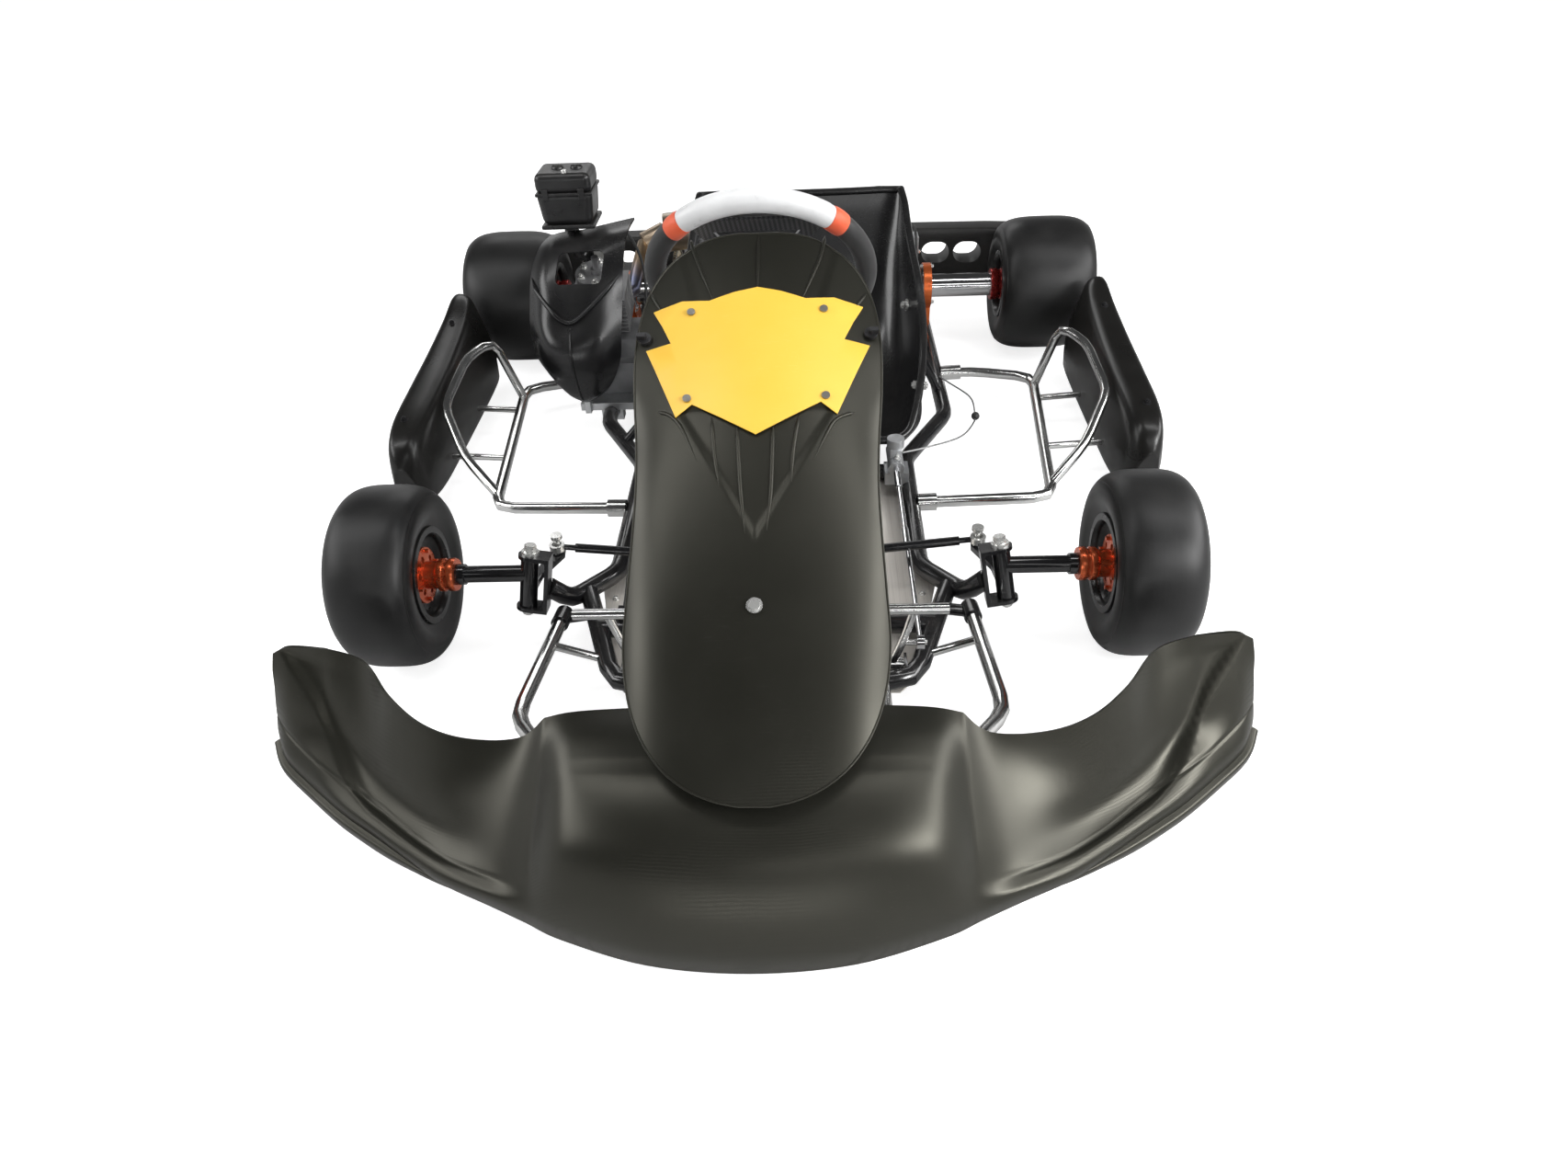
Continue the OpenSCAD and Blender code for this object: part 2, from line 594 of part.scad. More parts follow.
// half of a tyre's section, outside or inside, as a list of points from bead to bead
function tyre_curve(r, w, rb, bead_w, n) = [for (k = [0:n]) let (a = 180 * k / n,
        c = cos(a), s = sin(a), e = 0.62,
        x = sign(c) * pow(abs(c), e), y = pow(abs(s), 0.5))
    [rb + (r - rb) * y, w / 2 * x * (1 - (1 - bead_w / w) * pow(1 - y, 3))]];
module tyre(d, w) {
    rb = rim_d / 2;
    outer = tyre_curve(d / 2, w, rb + 8.5, w - 24, 28);
    inner = tyre_curve(d / 2 - tyre_t, w - 2 * tyre_t, rb + 8.5, w - 36, 28);
    rotate_extrude() polygon(concat(
        [[rb, w / 2 - 12]], outer, [[rb, 12 - w / 2], [rb, 25 - w / 2]],
        [for (k = [28:-1:0]) inner[k]], [[rb, w / 2 - 25]]));
}
// a rim whose disc bolts to a hub flange at the distance f from its middle
module rim(w, f, pilot, stud_at) {
    rb = rim_d / 2;
    h = w / 2 - 11;
    // where the wall behind the disc starts to widen
    back = min(18 - h, f - 3);
    difference() {
        rotate_extrude() polygon([[rb, h - 1], [rb + 8.5, h - 1], [rb + 8.5, h + 3], [rb - 1, h + 3],
            [rb - 4.5, h - 4], [rb - 4.5, h - 12], [rb - 9, h - 18], [rb - 9, f + 12], [rb - 16, f + 5],
            [pilot, f + 5], [pilot, f], [rb - 14, f], [rb - 9, back], [rb - 4.5, back - 6],
            [rb - 4.5, 2.5 - h], [rb - 1, -h - 3], [rb + 8.5, -h - 3], [rb + 8.5, 1 - h],
            [rb, 1 - h], [rb, -h + 16], [rb - 5, -h + 22], [rb - 5, h - 22], [rb, h - 16]]);
        for (a = [0:60:359]) rotate([0, 0, a]) {
            translate([(pilot + rb - 16) / 2, 0, f - 5])
                cylinder(h = 14, r = min(6, (rb - 16 - pilot) / 2 - 1));
            rotate([0, 0, 30]) translate([stud_at, 0, f - 5]) cylinder(h = 14, r = 3.1);
        }
    }
}
module front_tyre_left() {
    color([0.06, 0.06, 0.06]) at_front_wheel(1) tyre(front_tyre_d, front_tyre_w);
}
module front_tyre_right() {
    color([0.06, 0.06, 0.06]) at_front_wheel(-1) tyre(front_tyre_d, front_tyre_w);
}
module front_rim_left() {
    color([0.05, 0.05, 0.05]) at_front_wheel(1) rim(front_tyre_w, flange_x - front_x, stub_r + 13, stub_r + 23);
}
module front_rim_right() {
    color([0.05, 0.05, 0.05]) at_front_wheel(-1) rim(front_tyre_w, flange_x - front_x, stub_r + 13, stub_r + 23);
}
// a turned front hub with ring grooves, a flange and three studs
module front_hub(side) {
    translate([side * hub_x, yf, front_z]) rotate([0, side * 90, 0]) {
        difference() {
            rotate_extrude() polygon([[stub_r + run_fit, 0], [stub_r + 11, 0], [stub_r + 12, 3],
                [stub_r + 12, 10], [stub_r + 9, 12], [stub_r + 9, 15], [stub_r + 12, 17],
                [stub_r + 12, 24], [stub_r + 8, 28], [stub_r + 8, 44], [stub_r + 29, 46],
                [stub_r + 29, 53], [stub_r + 12.9, 53], [stub_r + 12.9, 58], [stub_r + 9, 58],
                [stub_r + 9, 98], [stub_r + run_fit, 98]]);
            for (a = [0:60:359]) rotate([0, 0, a]) translate([stub_r + 15, 0, 20])
                cylinder(h = 40, r = 5);
        }
        for (a = [0:60:359]) rotate([0, 0, a + 30]) translate([stub_r + 23, 0, 58.2])
            cylinder(h = 6, r = 6, $fn = 6);
        for (a = [0:60:359]) rotate([0, 0, a + 30]) translate([stub_r + 23, 0, 40])
            cylinder(h = 24, r = 3);
    }
}
module front_hub_left() {
    color([0.80, 0.28, 0.14]) front_hub(1);
}
module front_hub_right() {
    color([0.80, 0.28, 0.14]) front_hub(-1);
}
module rear_axle() {
    color([0.8, 0.81, 0.83]) on_axle(-535) difference() {
        cylinder(h = 1070, r = axle_r);
        translate([0, 0, -1]) cylinder(h = 1072, r = axle_bore / 2);
    }
}
module rear_tyres() {
    color([0.06, 0.06, 0.06]) for (side = [-1, 1]) at_rear_wheel(side) tyre(rear_tyre_d, rear_tyre_w);
}
rear_flange = -58;
module rear_rims() {
    color([0.05, 0.05, 0.05]) for (side = [-1, 1]) at_rear_wheel(side)
        rim(rear_tyre_w, rear_flange, axle_r + 11, axle_r + 17.5);
}
module rear_hubs() {
    color([0.62, 0.12, 0.10]) for (side = [-1, 1]) at_rear_wheel(side) difference() {
        union() {
            rotate_extrude() polygon([[axle_r, -112], [axle_r + 8, -112], [axle_r + 9, -110],
                [axle_r + 9, -98], [axle_r + 6, -96], [axle_r + 6, -90], [axle_r + 9, -88],
                [axle_r + 9, rear_flange - 14], [axle_r + 24, rear_flange - 10],
                [axle_r + 24, rear_flange], [axle_r + 10.9, rear_flange],
                [axle_r + 10.9, rear_flange + 5], [axle_r + 8, rear_flange + 5],
                [axle_r + 8, -62 + 20], [axle_r, -62 + 20]]);
            for (a = [0:60:359]) rotate([0, 0, a + 30]) translate([axle_r + 17.5, 0, rear_flange + 5.2])
                cylinder(h = 6, r = 6, $fn = 6);
            for (a = [0:60:359]) rotate([0, 0, a + 30]) translate([axle_r + 17.5, 0, rear_flange - 4])
                cylinder(h = 14, r = 3);
        }
        // clamp slot
        translate([axle_r - 2, -1.5, -113]) cube([20, 3, 32]);
    }
}
module bearing_hangers() {
    color([0.85, 0.33, 0.12]) for (x = [-bearing_x, bearing_x]) on_axle(x - 9) difference() {
        union() {
            cylinder(h = 18, r = axle_r + 25);
            translate([0, -30, 0]) cube([rear_z - frame_z + 4, 60, 18]);
        }
        translate([0, 0, -1]) cylinder(h = 20, r = axle_r + 15);
        translate([rear_z - frame_z, -40, 9]) rotate([-90, 0, 0]) cylinder(h = 80, r = rail_r);
        translate([axle_r + 34, 0, -1]) cylinder(h = 20, r = 7);
    }
}
module axle_bearings() {
    color([0.7, 0.7, 0.72]) for (x = [-bearing_x, bearing_x]) on_axle(x - 8) difference() {
        cylinder(h = 16, r = axle_r + 15);
        translate([0, 0, -1]) cylinder(h = 18, r = axle_r + run_fit);
        for (z = [-1, 13]) translate([0, 0, z]) difference() {
            cylinder(h = 4, r = axle_r + 11);
            cylinder(h = 4, r = axle_r + 5);
        }
    }
}
module brake_disc() {
    color([0.6, 0.6, 0.62]) on_axle(disc_x - disc_t / 2) difference() {
        union() {
            difference() {
                cylinder(h = disc_t, r = disc_d / 2);
                translate([0, 0, -1]) cylinder(h = disc_t + 2, r = 58);
            }
            // carrier with six arms
            for (a = [0:60:359]) rotate([0, 0, a]) translate([30, -7, disc_t / 2 - 4]) cube([34, 14, 8]);
            translate([0, 0, disc_t / 2 - 14]) cylinder(h = 28, r = axle_r + 9);
        }
        translate([0, 0, -20]) cylinder(h = 60, r = axle_r);
        for (a = [0:15:359]) rotate([0, 0, a]) translate([disc_d / 2 - 12 - 7 * (a / 15 % 2), 0, -1])
            cylinder(h = disc_t + 2, r = 2.5);
    }
}
module brake_caliper() {
    color([0.75, 0.76, 0.78]) {
        for (x = [-disc_t / 2 - 26, disc_t / 2 + 8]) translate([disc_x + x, yr + 52, rear_z + 30])
            cube([18, 40, 62]);
        translate([disc_x - disc_t / 2 - 26, yr + 52 + 40, rear_z + 34]) cube([disc_t + 52, 14, 54]);
        // bracket to the bearing hanger
        translate([disc_x + disc_t / 2 + 14, yr + 50, rear_z - 34]) cube([8, 40, 70]);
        translate([disc_x + disc_t / 2 + 14, yr + 24, rear_z - 42])
            cube([bearing_x - 9 - disc_x - disc_t / 2 - 14, 9.6, 28]);
        translate([disc_x + disc_t / 2 + 14, yr + 24, rear_z - 42]) cube([8, 36, 28]);
    }
    // pads
    color([0.2, 0.2, 0.2]) for (x = [-disc_t / 2 - 8, disc_t / 2 + gap])
        translate([disc_x + x, yr + 55, rear_z + 36]) cube([8 - gap, 34, 40]);
}

// drive

// a sprocket with n teeth, in the plane x = 0
module sprocket(n, r, t, bore) {
    rotate([0, 90, 0]) translate([0, 0, -t / 2]) difference() {
        linear_extrude(t) polygon([for (k = [0:n - 1])
            for (q = [[-0.5, -2.2], [-0.2, -2.2], [-0.09, tooth_h], [0.09, tooth_h], [0.2, -2.2]])
            let (a = 360 * (k + q[0]) / n) [(r + q[1]) * cos(a), (r + q[1]) * sin(a)]]);
        translate([0, 0, -1]) cylinder(h = t + 2, r = bore);
    }
}
module rear_sprocket() {
    color([0.75, 0.6, 0.3]) translate([chain_x, yr, rear_z]) {
        difference() {
            sprocket(rear_teeth, rear_sprocket_r, 3.4, 40);
            for (a = [0:30:359]) rotate([a, 0, 0]) translate([-10, rear_sprocket_r - 22, 0])
                rotate([0, 90, 0]) cylinder(h = 20, r = 9);
        }
        // carrier clamped on the axle
        rotate([0, 90, 0]) difference() {
            union() {
                translate([0, 0, -1.7]) cylinder(h = 3.4, r = 42);
                translate([0, 0, 1.7]) cylinder(h = 8, r = 46);
                translate([0, 0, 5]) cylinder(h = 24, r = axle_r + 9);
            }
            translate([0, 0, -30]) cylinder(h = 80, r = axle_r);
        }
    }
}
module drive_sprocket() {
    color([0.6, 0.6, 0.62]) translate([chain_x, engine_y, engine_z]) {
        sprocket(engine_teeth, engine_sprocket_r, 3.4, 6);
        // clutch drum and shaft end
        translate([-7, 0, 0]) rotate([0, 90, 0]) cylinder(h = 5, r = 9);
        translate([-34, 0, 0]) rotate([0, 90, 0]) cylinder(h = 29, r = 38);
        translate([-56, 0, 0]) rotate([0, 90, 0]) cylinder(h = 64, r = 6);
    }
}
// points of the chain's loop in its own plane, offset by d from the pitch line
function chain_line(d) = let (dy = yr - engine_y, dz = rear_z - engine_z, l = norm([dy, dz]),
        lean = atan2(dz, dy), open = acos((rear_sprocket_r - engine_sprocket_r) / l))
    concat(
        [for (k = [0:36]) let (a = lean + 180 - open - k * (360 - 2 * open) / 36)
            [dy + (rear_sprocket_r + d) * cos(a), dz + (rear_sprocket_r + d) * sin(a)]],
        [for (k = [0:12]) let (a = lean + 180 + open - k * (2 * open) / 12)
            [(engine_sprocket_r + d) * cos(a), (engine_sprocket_r + d) * sin(a)]]);
module chain() {
    color([0.45, 0.42, 0.36]) for (x = [-4.2, 2.4])
        translate([chain_x + x, engine_y, engine_z]) rotate([90, 0, 90]) linear_extrude(1.8) difference() {
            polygon(chain_line(chain_half));
            polygon(chain_line(-chain_half));
        }
}

// engine

module engine_mount() {
    color([0.75, 0.76, 0.78]) difference() {
        union() {
            translate([-395, along(648), frame_z + rail_r - 8]) cube([126, 118, 16]);
            for (y = [660, 730]) translate(p(-357, y, frame_z - rail_r - 6)) cube([44, 24, 30]);
            // tab that carries the lower end of the cowl
            translate(p(-384, 635.6, frame_z + rail_r - 8)) cube([12, 16, 31]);
        }
        rod([-335, along(600), frame_z], [-335, along(900), frame_z], rail_r);
    }
}
module engine_crankcase() {
    color([0.35, 0.36, 0.37]) difference() {
        union() {
            translate([-390, along(690), frame_z + rail_r + 8]) cube([110, 150, 66]);
            translate([-400, engine_y - 14, engine_z + 14]) rotate([0, 90, 0]) cylinder(h = 128, r = 58);
            translate([-430, engine_y - 14, engine_z + 14]) rotate([0, 90, 0]) cylinder(h = 32, r = 46);
        }
        translate([-500, engine_y - 100, 0]) cube([300, 200, frame_z + rail_r + 8]);
        translate([-282, engine_y, engine_z]) rotate([0, 90, 0]) cylinder(h = 20, r = 7);
    }
}
exhaust_port = p(-316, 806, 228);
exhaust_bend = p(-302, 880, 216);
module engine_cylinder() {
    color([0.5, 0.51, 0.52]) difference() {
        translate([-342, engine_y - 14, engine_z + 72]) rotate([14, 0, 0]) {
            translate([0, 0, -12]) cylinder(h = 108, r = 34);
            for (z = [8:9:80]) translate([-52, -50, z]) cube([104, 100, 3]);
            // head
            translate([0, 0, 84]) cylinder(h = 30, r = 44);
            translate([0, 0, 114]) cylinder(h = 10, r = 12);
            translate([0, 0, 124]) cylinder(h = 24, r = 7);
        }
        translate([-400, engine_y - 14, engine_z + 14]) rotate([0, 90, 0]) cylinder(h = 128, r = 58);
        rod(exhaust_port, exhaust_bend, 15);
    }
}
module carburettor() {
    color([0.62, 0.62, 0.6]) {
        difference() {
            rod(p(-381, 800, 172), p(-354, 910, 266), 15);
            translate([-400, engine_y - 14, engine_z + 14]) rotate([0, 90, 0]) cylinder(h = 128, r = 58);
        }
        translate(p(-378, 905, 244)) cube([52, 46, 56]);
        rod(p(-352, 928, 300), p(-352, 928, 316), 17);
    }
}
module airbox() {
    color([0.06, 0.06, 0.07]) {
        translate(p(0, 858, 0)) rotate([90, 0, 0]) linear_extrude(92) polygon([[-440, 382], [-342, 382],
            [-332, 400], [-334, 452], [-346, 484], [-412, 484], [-438, 456], [-444, 400]]);
        // bumps on the lid
        for (x = [-400, -364]) translate(p(x, 812, 484)) cylinder(h = 7, r = 11);
        translate(p(-382, 780, 484)) cylinder(h = 4, r = 5);
        // neck down to the carburettor
        pipe([p(-396, 838, 386), p(-412, 880, 330), p(-408, 928, 272), p(-378.3, 928, 272)], 13);
    }
}
cowl_rows = [
    [[-394, 640, 87], [-387, 634, 85], [-378, 632, 84], [-368, 634, 85], [-360, 640, 87]],
    [[-424, 640, 118], [-408, 616, 112], [-380, 606, 109], [-348, 614, 112], [-326, 634, 117]],
    [[-462, 650, 168], [-430, 608, 160], [-382, 594, 156], [-334, 606, 160], [-300, 640, 168]],
    [[-472, 668, 222], [-436, 618, 214], [-384, 600, 208], [-332, 616, 214], [-292, 652, 222]],
    [[-470, 690, 268], [-436, 648, 262], [-384, 634, 250], [-332, 646, 262], [-288, 676, 268]],
    [[-464, 720, 318], [-432, 690, 322], [-384, 680, 318], [-330, 688, 326], [-282, 706, 330]],
    [[-452, 764, 350], [-424, 744, 358], [-378, 738, 362], [-326, 742, 369], [-276, 752, 376]],
    [[-444, 826, 352], [-416, 820, 361], [-372, 816, 366], [-320, 818, 376], [-270, 824, 384]]];
module engine_cowl() {
    color([0.05, 0.05, 0.06]) difference() {
        skin(both_ways(lift(cowl_rows), 2, 2), 4);
        // window that shows the engine
        translate(p(-412, 700, 286)) rotate([48, 0, 0]) translate([0, 0, -60])
            linear_extrude(130) polygon([[0, 0], [88, 0], [96, 66], [8, 66]]);
    }
}
module exhaust() {
    color([0.62, 0.60, 0.58]) {
        pipe([exhaust_port, exhaust_bend, p(-285, 1000, 272)], 15);
        rod(p(-285, 1000, 272), p(-240, 1020, 288), 24);
        rod(p(-240, 1020, 288), p(40, 1040, 312), 40);
        rod(p(40, 1040, 312), p(84, 1043, 316), 26);
        rod(p(84, 1043, 316), p(230, 1054, 330), 33);
        rod(p(230, 1054, 330), p(262, 1056, 333), 13);
    }
}
module throttle_cable() {
    color([0.1, 0.1, 0.1]) hose(smooth([p(-208, -23, 84), p(-210, 20, 82),
        p(-218, 100, 80), p(-222, 200, 78), p(-222, 300, 76), p(-222, 400, 76), p(-236, 500, 72),
        p(-252, 600, 74), p(-258, 680, 96), p(-258, 760, 210), p(-266, 840, 290), p(-306, 900, 338),
        p(-348, 926, 346), p(-352, 928, 317)], 3), 3, 8);
}

// seat and side bodywork

// seat rows: bottom y, bottom z, bottom half width, then rim y, rim z, rim half width
seat_rows = [[418, 106, 140, 414, 112, 168], [445, 86, 140, 438, 118, 190], [490, 62, 136, 486, 140, 206],
    [560, 46, 130, 560, 172, 221], [650, 42, 122, 640, 200, 230], [735, 60, 122, 704, 236, 231],
    [806, 110, 130, 760, 276, 226], [862, 184, 142, 812, 306, 219], [906, 270, 158, 868, 344, 212],
    [940, 340, 172, 918, 370, 209], [958, 384, 182, 950, 388, 203]];
function seat_point(q, t) = let (a = abs(t), s = sign(t), flat_t = 0.4)
    a <= flat_t
    ? p(seat_x + s * q[2] * a / flat_t * 0.9, q[0], q[1] + 2 * (a / flat_t) * (a / flat_t))
    : let (u = (a - flat_t) / (1 - flat_t), x = q[2] * 0.9 * (1 - u) * (1 - u) + 2 * u * (1 - u) * q[5] * 1.02
            + u * u * q[5])
        p(seat_x + s * x, q[0] + (q[3] - q[0]) * u * u, q[1] + 2 * (1 - u) + (q[4] - q[1]) * u * u);
seat_grid = [for (q = smooth(seat_rows, 2)) [for (k = [-10:10]) seat_point(q, k / 10)]];
module seat() {
    color([0.05, 0.05, 0.06]) skin(seat_grid, seat_t);
}
module seat_stays() {
    color([0.07, 0.07, 0.08]) {
        difference() {
            union() {
                rod(p(330, 700, 60), p(289.6, 692, 140.6), 9);
                rod([320, yr - 40, 62], p(279, 862, 246), 9);
                rod(p(-283, 514, 62), p(-184, 586, 150), 9);
                rod([-205, yr - 145, 60], p(-176, 868, 246), 9);
            }
            both_sides() {
                rod(rail_run[0], rail_run[1], rail_r);
                rod(rail_run[1], rail_run[2], rail_r);
            }
            translate([-335, yr - 145, frame_z]) rotate([0, 90, 0]) cylinder(h = 670, r = rail_r - 1);
        }
    }
}
side_line = [p(483, 290, 60), p(530, 745, 60), bar_r + gap / 4];
module side_bars() {
    low = bend([p(258, 286, 57), p(483, 290, 60), p(530, 745, 60), p(410, 782, 58), p(351, 784, 55)], 34);
    color([0.8, 0.81, 0.83]) both_sides() {
        tube(low, bar_r);
        // outer loop and the brackets that carry the side pod
        tube(bend([p(487, 330, 60), p(556, 396, 102), p(612, 500, 150), p(600, 640, 182),
            p(562, 700, 190), p(526, 706, 61)], 26), bar_r * 0.85, side_line, side_line);
        difference() {
            union() {
                rod(p(501, 460, 61), p(609, 470, 62), 6);
                rod(p(520, 650, 61), p(610, 660, 62), 6);
            }
            rod(side_line[0], side_line[1], side_line[2]);
        }
    }
    // clamps on the bar ends
    color([0.05, 0.05, 0.05]) both_sides() difference() {
        union() {
            rod(p(252, 286, 57), p(284, 286.5, 57.3), bar_r + 5);
            rod(p(345, 784, 55), p(386, 783, 57), bar_r + 5);
        }
        rod(p(33, 282, 54), p(483, 290, 60), bar_r + gap / 4);
        rod(p(410, 782, 58), p(292, 786, 52), bar_r + gap / 4);
        rod(rail_run[0], rail_run[1], rail_r);
        rod(rail_run[2], rail_run[3], rail_r);
    }
}
// sections of a side pod: y, inner x low, inner x top, outer x top, widest x, top z
pod_rows = [[346, 632, 650, 672, 676, 104], [372, 618, 638, 680, 686, 140], [430, 611, 634, 686, 692, 160],
    [540, 611, 632, 687, 693, 172], [660, 612, 634, 687, 693, 184], [780, 614, 640, 687, 693, 200],
    [850, 618, 648, 686, 692, 216], [876, 626, 654, 684, 689, 218]];
function pod_ring(q) = [p(q[1], q[0], 36), p(q[1] - 2, q[0], q[5] * 0.5), p(q[2] - 8, q[0], q[5] - 16),
    p(q[2] + 6, q[0], q[5]), p(q[3] - 10, q[0], q[5] + 2), p(q[3], q[0], q[5] - 8), p(q[4], q[0], q[5] * 0.6),
    p(q[4] - 4, q[0], 50), p(q[4] - 14, q[0], 32), p(q[1] + 10, q[0], 32)];
module side_pods() {
    color([0.06, 0.06, 0.06]) both_sides() loft([for (q = smooth(pod_rows, 2)) pod_ring(q)]);
}
module rear_bumper() {
    color([0.05, 0.05, 0.05]) difference() {
        translate([0, 0, 88]) linear_extrude(116) polygon([
            [-668, yr + 162], [-640, yr + 160], [-600, yr + 170], [-480, yr + 190], [-300, yr + 198],
            [300, yr + 198], [480, yr + 190], [600, yr + 170], [640, yr + 160], [668, yr + 162],
            [676, yr + 180], [668, yr + 212], [610, yr + 240], [500, yr + 255], [300, yr + 261],
            [-300, yr + 261], [-500, yr + 255], [-610, yr + 240], [-668, yr + 212], [-676, yr + 180]]);
        // hand holes
        for (x = [-452, -376, 376, 452]) translate([x, yr + 150, 148]) {
            for (k = [-8, 8]) translate([k, 0, 0]) rotate([-90, 0, 0]) cylinder(h = 130, r = 25);
            translate([-8, 0, -25]) cube([16, 130, 50]);
        }
        for (x = [-180, 0, 180]) translate([x - 52, yr + 150, 122]) cube([104, 130, 50]);
    }
}
module bumper_supports() {
    color([0.07, 0.07, 0.08]) both_sides() {
        difference() {
            rod([330, yr + 150, frame_z], [308, yr + 210, 128], 13);
            translate([200, yr + 190, 0]) cube([200, 60, 300]);
            translate([300, yr + 100, 0]) cube([60, 50, 100]);
        }
        translate([282, yr + 182.6, 96]) cube([44, 14, 66]);
    }
}

// tank, brake and fittings

module fuel_tank() {
    color([0.16, 0.16, 0.17]) difference() {
        union() {
            translate([-104, 0, 0]) rotate([90, 0, 90]) linear_extrude(208) polygon([
                [yf + 126, tray_z], [yf + 382, tray_z], [yf + 382, 168], [yf + 366, 186],
                [yf + 176, 186], [yf + 130, 130]]);
            translate(p(-62, 320, 180)) cylinder(h = 16, r = 24);
        }
        translate(p(-62, 320, 150)) cylinder(h = 60, r = 16);
        // handle recess
        translate(p(20, 240, 172)) cube([50, 90, 30]);
    }
}
module fuel_cap() {
    color([0.7, 0.1, 0.1]) translate(p(-62, 320, 196 + gap)) {
        cylinder(h = 14, r = 27, $fn = 12);
        translate([0, 0, -20]) cylinder(h = 20, r = 16 - run_fit);
        translate([-24, -4, 14]) cube([48, 8, 6]);
    }
}
module brake_pedal() {
    color([0.8, 0.81, 0.83]) pedal(1);
}
module throttle_pedal() {
    color([0.8, 0.81, 0.83]) mirror([1, 0, 0]) pedal(0);
}
// a pedal on its pivot tube, with a foot bar; the brake pedal has a pin for the rod
module pedal(pin) {
    difference() {
        union() {
            translate([pivot_x - 16, pedal_y, pedal_z]) rotate([0, 90, 0]) cylinder(h = 32, r = 9);
            tube(bend([[pivot_x, pedal_y, pedal_z], [pedal_x - 8, pedal_y - 4, 110], [pedal_x, pedal_y - 16, 164]], 12), 6);
            rod([pedal_x - 46, pedal_y - 16, 164], [pedal_x + 46, pedal_y - 16, 164], 7.5);
            if (pin > 0) translate([pedal_x - 13, pedal_y - 3, rod_z]) rotate([0, 90, 0]) cylinder(h = 35, r = 4);
        }
        translate([pivot_x - 30, pedal_y, pedal_z]) rotate([0, 90, 0]) cylinder(h = 60, r = 4 + run_fit);
    }
}
module brake_rod() {
    color([0.8, 0.81, 0.83]) {
        difference() {
            union() {
                rod([pedal_x + 13, pedal_y + 5, rod_z], [pedal_x + 13, cylinder_y - 58, rod_z], 4);
                translate([pedal_x + 8, pedal_y - 3, rod_z]) rotate([0, 90, 0]) cylinder(h = 10, r = 10);
            }
            translate([pedal_x, pedal_y - 3, rod_z]) rotate([0, 90, 0]) cylinder(h = 40, r = 6.4);
        }
        // sleeve nut and plunger
        rod([pedal_x + 13, yf + 100, rod_z], [pedal_x + 13, yf + 150, rod_z], 6);
        rod([pedal_x + 13, cylinder_y - 60, rod_z], [pedal_x + 13, cylinder_y + 24, rod_z], 6);
    }
}
module master_cylinder() {
    color([0.75, 0.76, 0.78]) difference() {
        union() {
            rod([pedal_x + 13, cylinder_y, rod_z], [pedal_x + 13, cylinder_y + 70, rod_z], 14);
            translate([pedal_x + 3, cylinder_y + 18, rod_z + 8]) cube([20, 34, 18]);
            // reservoir
            translate([pedal_x + 13, cylinder_y + 35, rod_z + 26]) cylinder(h = 16, r = 15);
            translate([pedal_x - 6, cylinder_y + 4, frame_z + 10]) cube([42, 40, 24]);
        }
        rod([pedal_x + 13, cylinder_y - 10, rod_z], [pedal_x + 13, cylinder_y + 50, rod_z], 6 + run_fit);
        rod(rail_run[2], rail_run[3], rail_r);
    }
}
module brake_hose() {
    color([0.08, 0.08, 0.08]) hose(concat([[pedal_x + 13, cylinder_y + 70.3, rod_z]],
        smooth([[pedal_x + 13, cylinder_y + 78, rod_z], [pedal_x + 30, cylinder_y + 106, rod_z - 6],
            p(274, 520, 82), p(286, 620, 78), p(292, 760, 76), p(294, 900, 78), p(298, 976, 84),
            p(306, 1008, 130), p(309, 1014, 190), p(308, 1050, 258), p(306, 1110, 266),
            [disc_x + 17, yr + 80, rear_z + 106]], 3),
        [[disc_x + 17, yr + 80, rear_z + 92.4]]), 3, 8);
}
module safety_cable() {
    color([0.75, 0.75, 0.76]) {
        hose(concat(smooth([p(338, 742, 68), p(352, 700, 74), p(390, 650, 66), p(391, 592, 60)], 4),
            [p(391, 589, 60), p(391, 586, 60), p(391, 583, 60), p(391, 580, 60), p(391, 577, 60)],
            smooth([p(391, 574, 60), p(350, 480, 74), p(274, 410, 92), p(233.4, 390, 95)], 4)), 1.6, 8,
            bead = p(391, 583, 60), bead_r = 8);
    }
}
module fasteners() {
    color([0.8, 0.8, 0.8]) {
        // kingpin bolts with their washers and nuts
        for (side = [-1, 1]) at_kingpin(side) {
            translate([0, 0, -68]) cylinder(h = 110, r = pin_r - 0.02);
            translate([0, 0, knuckle_top + gap + lug_t]) {
                cylinder(h = 5, r = 13);
                translate([0, 0, 5]) cylinder(h = 3, r = 10);
                translate([0, 0, 8]) cylinder(h = 7, r = 9, $fn = 6);
            }
            translate([0, 0, knuckle_low - gap - lug_t - 8]) {
                cylinder(h = 8, r = 9, $fn = 6);
            }
        }
        // pedal pivots
        both_sides() translate([pivot_x - 27, pedal_y, pedal_z]) rotate([0, 90, 0]) {
            cylinder(h = 49, r = 4);
            translate([0, 0, -1]) cylinder(h = 4, r = 7);
        }
    }
}

